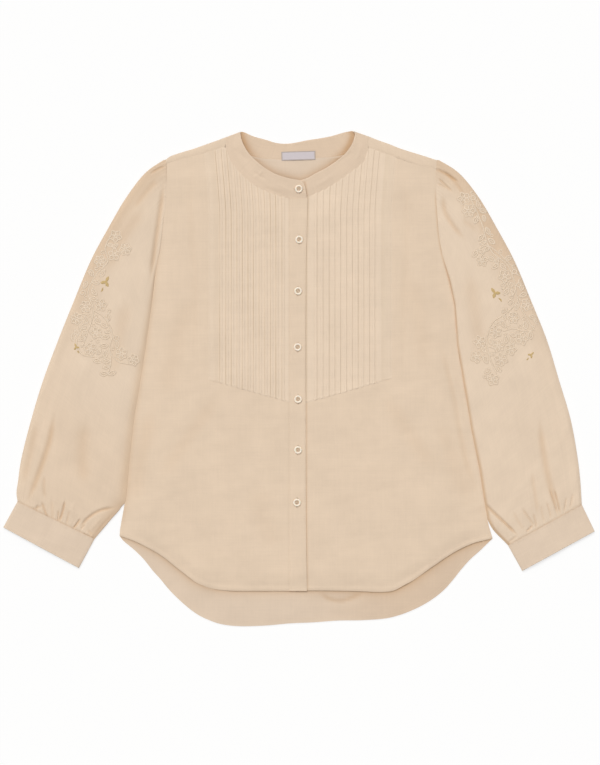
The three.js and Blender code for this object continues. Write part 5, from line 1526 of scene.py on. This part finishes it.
def button_mesh():
    """One button about its own middle: a turned section with a rim and a well, and four holes."""
    sides = BUTTON_SIDES
    bm = bmesh.new()
    rings = []
    for share, height in BUTTON_SECTION:
        r, z = share * BUTTON_RADIUS * MM, height * BUTTON_HEIGHT * MM
        if share == 0:
            rings.append([bm.verts.new((0, 0, z))])
        else:
            angles = [2 * math.pi * k / sides for k in range(sides)]
            rings.append([bm.verts.new((r * math.cos(angle), r * math.sin(angle), z)) for angle in angles])
    for low, high in zip(rings, rings[1:]):
        for k in range(sides):
            n = (k + 1) % sides
            if len(low) == 1:
                bm.faces.new((low[0], high[n], high[k]))
            elif len(high) == 1:
                bm.faces.new((low[k], low[n], high[0]))
            else:
                bm.faces.new((low[k], low[n], high[n], high[k]))
    bmesh.ops.recalc_face_normals(bm, faces=bm.faces)
    mesh = bpy.data.meshes.new("button_body")
    bm.to_mesh(mesh)
    bm.free()
    body = link("button_body", mesh)
    cutters = []
    for side_x, side_y in ((1, 1), (1, -1), (-1, 1), (-1, -1)):
        bm = bmesh.new()
        radius, offset = HOLE_RADIUS * MM, HOLE_OFFSET * MM
        bmesh.ops.create_cone(bm, cap_ends=True, segments=20, radius1=radius, radius2=radius,
                              depth=BUTTON_HEIGHT * 3 * MM)
        bmesh.ops.translate(bm, verts=bm.verts, vec=(side_x * offset, side_y * offset, 0.001))
        cutter_mesh = bpy.data.meshes.new("cutter")
        bm.to_mesh(cutter_mesh)
        bm.free()
        cutter = link("cutter", cutter_mesh)
        modifier = body.modifiers.new("hole", "BOOLEAN")
        modifier.object = cutter
        modifier.operation = "DIFFERENCE"
        cutters.append(cutter)
    bpy.context.view_layer.update()
    evaluated = body.evaluated_get(bpy.context.evaluated_depsgraph_get())
    result = bpy.data.meshes.new_from_object(evaluated)
    for obj in cutters + [body]:
        bpy.data.objects.remove(obj, do_unlink=True)
    finish_mesh(result, 35)
    return result


def make_buttons(band_obj):
    shape = button_mesh()
    band_tree = BVHTree.FromObject(band_obj, bpy.context.evaluated_depsgraph_get())
    first_x, first_y = BUTTONS[0]
    band_top = band_tree.ray_cast(Vector((first_x * MM, first_y * MM, 0.05)), Vector((0, 0, -1)))[0].z / MM
    sewn = Stitches()
    for i, (x, y) in enumerate(BUTTONS):
        low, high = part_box("button_%d" % (i + 1))
        across = i == 0
        surface = band_top if across else float(placket_top(np.array([x]), np.array([y]))[0])
        centre = Vector(((low[0] + high[0]) / 2, (low[1] + high[1]) / 2, (surface + 0.12) * MM))
        mesh = shape.copy()
        turn = math.radians(17 * i)
        for vertex in mesh.vertices:
            vx, vy, vz = vertex.co
            vertex.co = (centre.x + vx * math.cos(turn) - vy * math.sin(turn),
                         centre.y + vx * math.sin(turn) + vy * math.cos(turn), centre.z + vz)
        # Painted shade in the sunken middle of each button
        out = [math.hypot(v.co.x - centre.x, v.co.y - centre.y) / (BUTTON_RADIUS * MM) for v in mesh.vertices]
        set_painted_shade(mesh, [float(ease((0.62 - share) / 0.12)) for share in out])
        mesh.update()
        obj = link("button_top_%d" % (i + 1), mesh)
        dress(obj, PEARL, "button_%d" % (i + 1))
        z = centre.z / MM + BUTTON_HEIGHT * 0.53

        def spot(u, v, h):
            return np.array([*turned((u, v), centre.x / MM, centre.y / MM, turn), h])
        for v in (-1, 1):
            for offset in (-0.16, 0.16):
                sewn.bar(spot(-HOLE_OFFSET, v * HOLE_OFFSET + offset, z + 0.05),
                         spot(HOLE_OFFSET, v * HOLE_OFFSET + offset, z + 0.05), 0.24, 0.12)
        half_long, half_wide = BUTTONHOLE_HALF
        loop = []
        for k in range(41):
            angle = 2 * math.pi * k / 40
            u = math.copysign(abs(math.cos(angle)) ** 0.5 * half_long, math.cos(angle))
            v = half_wide * math.sin(angle)
            point = (x + u, y + v) if across else (x + v, y + u)
            height = surface if across else float(placket_top(np.array([point[0]]), np.array([point[1]]))[0])
            loop.append((point[0], point[1], height + 0.05))
        sewn.add(loop, pitch=0.42, length=0.36, radius=0.3, lift=0.05)
    sewn.build("button_sewing", SEWING, "button")


# Neck label: a woven strip with a border
def make_label():
    s = np.linspace(-0.5, 0.5, 60)
    t = np.linspace(-0.5, 0.5, 16)
    ss, tt = np.meshgrid(s * LABEL_WIDTH, t * LABEL_DEPTH)
    uv = np.stack([ss, tt], -1)
    grid = turned(uv, LABEL_X, LABEL_Y, math.radians(LABEL_TILT))
    ends = clamp((np.abs(ss) - LABEL_WIDTH / 2 + 2.2) / 1.4)
    z = LABEL_LEVEL + 0.18 * np.cos(ss / 9.0) + 0.12 * np.sin(tt / 3.4) - 0.25 * ends
    outer, inner = heights(grid, z, LABEL_SHELL)
    obj = dress(wall("label_strip", outer, inner, uv), LABEL_WEAVE, "neck_label")
    sewn = Stitches()
    for column in (1, -2):
        sewn.add(outer[1:-1, column] + np.array([0, 0, 0.04]), pitch=1.9, length=1.4, radius=0.16)
    sewn.build("label_sewing", SEWING, "label")
    return obj


# Embroidery: raised cords of thread laid on each sleeve
class Cords:
    """Collects cords and filled shapes of thread that lie on one piece of cloth."""

    def __init__(self, surface):
        self.surface = surface
        self.points, self.faces, self.uvs, self.painted_shades = [], [], [], []

    def height(self, x, y):
        """Height of the cloth, or nothing within a thread's width of the cloth's edge."""
        clear = EDGE_CLEAR
        hits = [self.surface.ray_cast(Vector(((x + dx) * MM, (y + dy) * MM, 0.05)), Vector((0, 0, -1)))[0]
                for dx, dy in ((0, 0), (clear, 0), (-clear, 0), (0, clear), (0, -clear))]
        return None if any(hit is None for hit in hits) else hits[0].z / MM

    def cord(self, path, width=1.5, closed=False):
        """A raised cord along a path on the floor plan."""
        path = np.asarray(path, float)
        run = run_along(path)
        count = max(3, int(run[-1] / CORD_STEP) + 1)
        at = np.linspace(0, run[-1], count)
        xy = np.stack([np.interp(at, run, path[:, 0]), np.interp(at, run, path[:, 1])], -1)
        zs = [self.height(x, y) for x, y in xy]
        if any(z is None for z in zs):
            keep = [k for k, z in enumerate(zs) if z is not None]
            if len(keep) < 4:
                return
            xy, zs = xy[keep], [zs[k] for k in keep]
            at = at[keep]
        zs = np.array(zs)
        direction = np.gradient(xy, axis=0)
        direction /= np.linalg.norm(direction, axis=1)[:, None] + 1e-9
        side = np.stack([-direction[:, 1], direction[:, 0]], -1)
        base = len(self.points)
        section = [(-1.0, 0.0), (-0.56, 0.22), (-0.4, 0.7), (0.4, 0.7), (0.56, 0.22), (1.0, 0.0)]
        for k in range(len(xy)):
            taper = 1.0 if closed else min(1.0, 0.35 + min(k, len(xy) - 1 - k) * 0.35)
            for across, up in section:
                x, y = xy[k] + side[k] * across * width * taper
                self.points.append((x, y, zs[k] + up * CORD_RISE * taper))
                self.uvs.append((at[k], across * width))
                # Painted shade on the cord's low sides
                self.painted_shades.append(1.0 if abs(across) > 0.5 else 0.0)
        n = len(section)
        for k in range(len(xy) - 1):
            if np.linalg.norm(xy[k + 1] - xy[k]) > 4:
                continue
            for m in range(n - 1):
                a = base + k * n + m
                self.faces.append((a, a + n, a + n + 1, a + 1))

    def fill(self, outline):
        """A padded satin-stitched shape inside an outline."""
        outline = np.asarray(outline, float)
        centre = outline.mean(0)
        base = len(self.points)
        layers = (1.0, 0.86, 0.6, 0.3)
        for layer in layers:
            up = FILL_RISE * math.sqrt(max(0.0, 1 - layer ** 2)) + (-0.1 if layer == 1.0 else 0.05)
            for x, y in centre + (outline - centre) * layer:
                z = self.height(x, y)
                z = self.height(*centre) if z is None else z
                self.points.append((x, y, z + up))
                self.uvs.append((x, y))
                # Painted shade round the shape's outline
                self.painted_shades.append(1.0 if layer == 1.0 else 0.0)
        n = len(outline)
        for layer in range(len(layers) - 1):
            for k in range(n):
                a, b = base + layer * n + k, base + layer * n + (k + 1) % n
                self.faces.append((a, b, b + n, a + n))
        self.faces.append(tuple(base + (len(layers) - 1) * n + k for k in range(n)))

    def build(self, name, material, slot):
        obj = thread_mesh(name, self.points, self.faces, self.uvs, self.painted_shades, sharp=70, outward=True)
        dress(obj, material)


def leaf_outline(length, width):
    """A pointed leaf along its own length."""
    t = np.linspace(0, 1, 18)
    half = width / 2 * np.sin(np.pi * t ** 0.85)
    upper = np.column_stack([t * length, half])
    lower = np.column_stack([t[::-1] * length, -half[::-1]])
    return np.vstack([upper, lower[1:]])


def scroll(turns, size):
    """A line that winds inward."""
    t = np.linspace(0, 1, 60)
    angle = t * turns * 2 * math.pi
    radius = size * (1 - t * 0.86)
    points = np.column_stack([radius * np.cos(angle), radius * np.sin(angle)])
    return points - points[0]


def ring(x, y, across, along, count):
    """A closed round line."""
    angles = np.linspace(0, 2 * math.pi, count)
    return np.column_stack([x + across * np.cos(angles), y + along * np.sin(angles)])


def flower(cords, x, y, size, petals, angle):
    """Round petals drawn twice, one line inside the other, about a small ringed middle."""
    for k in range(petals):
        around = angle + 2 * math.pi * k / petals
        petal = leaf_outline(size, size * 0.86)[::-1] + np.array([size * 0.26, 0])
        cords.cord(turned(petal, x, y, around), closed=True)
        cords.cord(turned([(size * 0.42, 0), (size * 0.92, 0)], x, y, around), width=1.2)
    cords.cord(ring(x, y, size * 0.22, size * 0.22, 22), width=1.4)


def leaf(cords, x, y, length, angle):
    """A leaf's outline with a middle rib."""
    cords.cord(turned(leaf_outline(length, length * 0.5), x, y, angle), closed=True)
    cords.cord(turned([(length * 0.12, 0), (length * 0.8, 0)], x, y, angle), width=1.3)


# Stems as lines of points. Clusters to fill: x, y, radius across, radius along.
# Accents: x, y, size, angle.
EMBROIDERY_LEFT = {
    "stems": [
        [(-262, 204), (-272, 182), (-268, 164), (-284, 146), (-296, 120), (-288, 96), (-296, 66), (-304, 44)],
        [(-288, 96), (-272, 84), (-262, 62), (-266, 40), (-254, 24), (-238, 20)],
        [(-304, 72), (-312, 52), (-304, 34), (-286, 30)],
        [(-266, 44), (-264, 24), (-268, 6)],
    ],
    "clusters": [
        (-262, 198, 7, 8), (-258, 178, 15, 12), (-272, 168, 8, 10), (-282, 146, 13, 14), (-294, 126, 11, 11),
        (-290, 104, 13, 12), (-278, 92, 13, 13), (-300, 78, 13, 13), (-284, 66, 18, 14), (-308, 58, 9, 10),
        (-268, 52, 16, 12), (-288, 46, 17, 10), (-256, 34, 16, 9), (-276, 30, 11, 8), (-238, 26, 9, 8),
        (-268, 12, 7, 9),
    ],
    "accents": [(-271, 135, 9.5, 1.1), (-312.5, 44, 6.0, 1.9)],
    "seed": 5,
}
EMBROIDERY_RIGHT = {
    "stems": [
        [(236, 258), (246, 238), (256, 214), (262, 192), (270, 176), (290, 160), (300, 138), (306, 108),
         (318, 84), (330, 66)],
        [(246, 178), (262, 186), (280, 174), (296, 158)],
        [(306, 108), (290, 92), (270, 78), (262, 54), (266, 30), (276, 6)],
        [(328, 68), (314, 66), (300, 70), (284, 66)],
    ],
    "clusters": [
        (240, 246, 12, 14), (250, 230, 11, 10), (262, 194, 8, 13), (258, 172, 15, 9), (280, 166, 14, 12),
        (296, 150, 12, 12), (298, 128, 15, 14), (308, 108, 13, 13), (296, 90, 14, 10), (322, 78, 11, 12),
        (312, 64, 14, 9), (280, 70, 14, 9), (266, 52, 15, 12), (288, 46, 13, 10), (258, 32, 12, 10),
        (276, 22, 11, 12), (268, 4, 9, 8),
    ],
    "accents": [(273.5, 119.5, 9.5, 2.2), (324, 33, 6.0, 0.8)],
    "seed": 9,
}

# Parts of a cluster in the order they are placed, and the room that each keeps round it
CLUSTER_PARTS = (
    ("flower", 8.6), ("leaf", 4.4), ("scroll", 4.8), ("leaf", 3.6), ("ring", 3.0), ("comma", 2.5),
)


def fill_cluster(cords, rng, cluster, taken):
    """Fills one cluster with flowers, leaves, scrolls and rings that keep off each other."""
    cx, cy, rx, ry = cluster
    for kind, room in CLUSTER_PARTS:
        for _ in range(40):
            angle, part = rng.uniform(0, 2 * math.pi), math.sqrt(rng.random())
            x, y = cx + rx * part * math.cos(angle), cy + ry * part * math.sin(angle)
            if any(math.hypot(x - px, y - py) < room + size for px, py, size in taken):
                continue
            turn = rng.uniform(0, 2 * math.pi)
            taken.append((x, y, room))
            if kind == "flower":
                flower(cords, x, y, rng.uniform(6.6, 7.6), rng.choice((5, 6)), turn)
            elif kind == "leaf":
                length = room * 2.6
                back_x, back_y = 0.5 * length * math.cos(turn), 0.5 * length * math.sin(turn)
                leaf(cords, x - back_x, y - back_y, length, turn)
            elif kind == "scroll":
                points = scroll(rng.uniform(1.3, 1.7), 5.0)
                cords.cord(turned(points - points.mean(0), x, y, turn), width=1.4)
            elif kind == "ring":
                cords.cord(ring(x, y, 2.3, 2.0, 16), width=1.2)
            else:
                cords.cord(turned([(-3, 0), (-1, 1.2), (1.2, 1.0), (2.8, -0.8)], x, y, turn), width=1.4)


def three_lobed(size):
    """Outline of a small leaf with three pointed lobes."""
    t = np.linspace(0, 2 * math.pi, 40, endpoint=False)
    lobes = np.abs(np.cos(1.5 * t))
    radius = size * (0.26 + 0.66 * lobes ** 2.6 + 0.06 * np.cos(12 * t) * lobes)
    return np.column_stack([radius * np.cos(t), radius * np.sin(t) * 0.82])


def make_embroidery(side, design, sleeve_obj):
    """Stems first, then clusters in the room that is left, then the accents on top."""
    surface = BVHTree.FromObject(sleeve_obj, bpy.context.evaluated_depsgraph_get())
    cords = Cords(surface)
    rng = random.Random(design["seed"])
    taken = [(x, y, size * 0.9) for x, y, size, _ in design["accents"]]
    for points in design["stems"]:
        cords.cord(spread_on(points, 60), width=1.35)
        for x, y in spread_on(points, int(line(points).length / 3), 0.05, 0.95):
            taken.append((float(x), float(y), 0.6))
    for cluster in design["clusters"]:
        fill_cluster(cords, rng, cluster, taken)
    cords.build("embroidery_" + side, FLOSS, "sleeve_cloth")
    accents = Cords(surface)
    for x, y, size, angle in design["accents"]:
        accents.fill(turned(three_lobed(size), x, y, angle))
        stalk = [(-size * 0.9, 0), (-size * 1.3, -0.9), (-size * 1.6, -0.4)]
        accents.cord(turned(stalk, x, y, angle), width=1.1)
    accents.build("accent_" + side, GOLD_FLOSS, "sleeve_cloth")


# Build everything
back = make_back()
front_left = make_front("front_cloth_left", "front_left", -1)
front_right = make_front("front_cloth_right", "front_right", 1)
bib_left = make_bib("bib_cloth_left", "bib_left", -1)
bib_right = make_bib("bib_cloth_right", "bib_right", 1)
for hem_rows, low_x, high_x in ((FRONT_HEM_LEFT, -250, -16), (FRONT_HEM_RIGHT, 12, 269)):
    inside = shifted(spread_on(hem_rows, 300), HEM_DEPTH)
    inside = inside[(inside[:, 0] > low_x) & (inside[:, 0] < high_x)]
    BODY_SEWING.add(np.column_stack([inside, front_shell_top(inside) + 0.03]))
placket = make_placket()
band = make_band()
label = make_label()
sleeve_left = make_sleeve("sleeve_cloth_left", "sleeve_left", SLEEVE_LEFT, ARMHOLE_LEFT,
                          SLEEVE_SHAPE_LEFT, SLEEVE_CREASES_LEFT)
sleeve_right = make_sleeve("sleeve_cloth_right", "sleeve_right", SLEEVE_RIGHT, ARMHOLE_RIGHT,
                           SLEEVE_SHAPE_RIGHT, SLEEVE_CREASES_RIGHT)
cuff_left = make_cuff("cuff_cloth_left", "cuff_left", CUFF_LEFT, 1.0)
cuff_right = make_cuff("cuff_cloth_right", "cuff_right", CUFF_RIGHT, 2.6)
make_buttons(band)
make_embroidery("left", EMBROIDERY_LEFT, sleeve_left)
make_embroidery("right", EMBROIDERY_RIGHT, sleeve_right)
BODY_SEWING.build("body_sewing", SEWING, "front_cloth")
BIB_SEWING.build("bib_sewing", SEWING, "bib_cloth")
BAND_SEWING.build("band_sewing", SEWING, "band_cloth")
CUFF_SEWING.build("cuff_sewing", SEWING, "cuff_cloth")


# Floor, light and camera
def make_floor():
    size = FLOOR_SIZE
    mesh = bpy.data.meshes.new("floor")
    corners = [(-size, -size, 0), (size, -size, 0), (size, size, 0), (-size, size, 0)]
    mesh.from_pydata(corners, [], [(0, 1, 2, 3)])
    floor = link("floor", mesh)
    floor.location.z = -0.0002
    material, _, shader = nodes_of("floor_white")
    set_values(shader, {
        "Base Color": (FLOOR_BASE, FLOOR_BASE, FLOOR_BASE, 1), "Roughness": 0.9, "Specular IOR Level": 0.0,
        "Emission Color": (1, 1, 1, 1), "Emission Strength": FLOOR_GLOW,
    })
    mesh.materials.append(material)


def sun(name, direction, strength, angle):
    """A soft light from one side; a wider angle gives softer shadows."""
    data = bpy.data.lights.new(name, "SUN")
    data.energy = strength
    data.angle = math.radians(angle)
    data.color = KEY_COLOUR
    obj = link(name, data)
    obj.location = [-2 * v for v in direction]
    obj.rotation_euler = Vector(direction).to_track_quat("-Z", "Y").to_euler()


def make_light():
    world = bpy.data.worlds.new("studio")
    world.use_nodes = True
    bpy.context.scene.world = world
    tree = world.node_tree
    background = tree.nodes["Background"]
    where = tree.nodes.new("ShaderNodeTexCoord").outputs["Generated"]
    parts = tree.nodes.new("ShaderNodeSeparateXYZ")
    tree.links.new(where, parts.inputs["Vector"])
    height = math_node(tree, "MAXIMUM", parts.outputs["Z"], 0.0)
    strength = add(tree, times(tree, height, WORLD_TOP - WORLD_SIDE), WORLD_SIDE)
    tree.links.new(strength, background.inputs["Strength"])
    background.inputs["Color"].default_value = WORLD_COLOUR
    sun("key", KEY_DIRECTION, KEY_STRENGTH, KEY_ANGLE)


def make_camera():
    data = bpy.data.cameras.new("camera")
    data.lens = 120
    data.sensor_fit = "VERTICAL"
    data.sensor_height = 36
    distance = VIEW_WIDTH * VIEW_ASPECT * data.lens / data.sensor_height
    camera = link("camera", data)
    camera.location = (VIEW_CENTRE[0], VIEW_CENTRE[1], distance + 0.004)
    camera.rotation_euler = (0, 0, 0)
    data.clip_end = 20
    bpy.context.scene.camera = camera


make_floor()
make_light()
make_camera()
bpy.context.scene.view_settings.view_transform = "Standard"
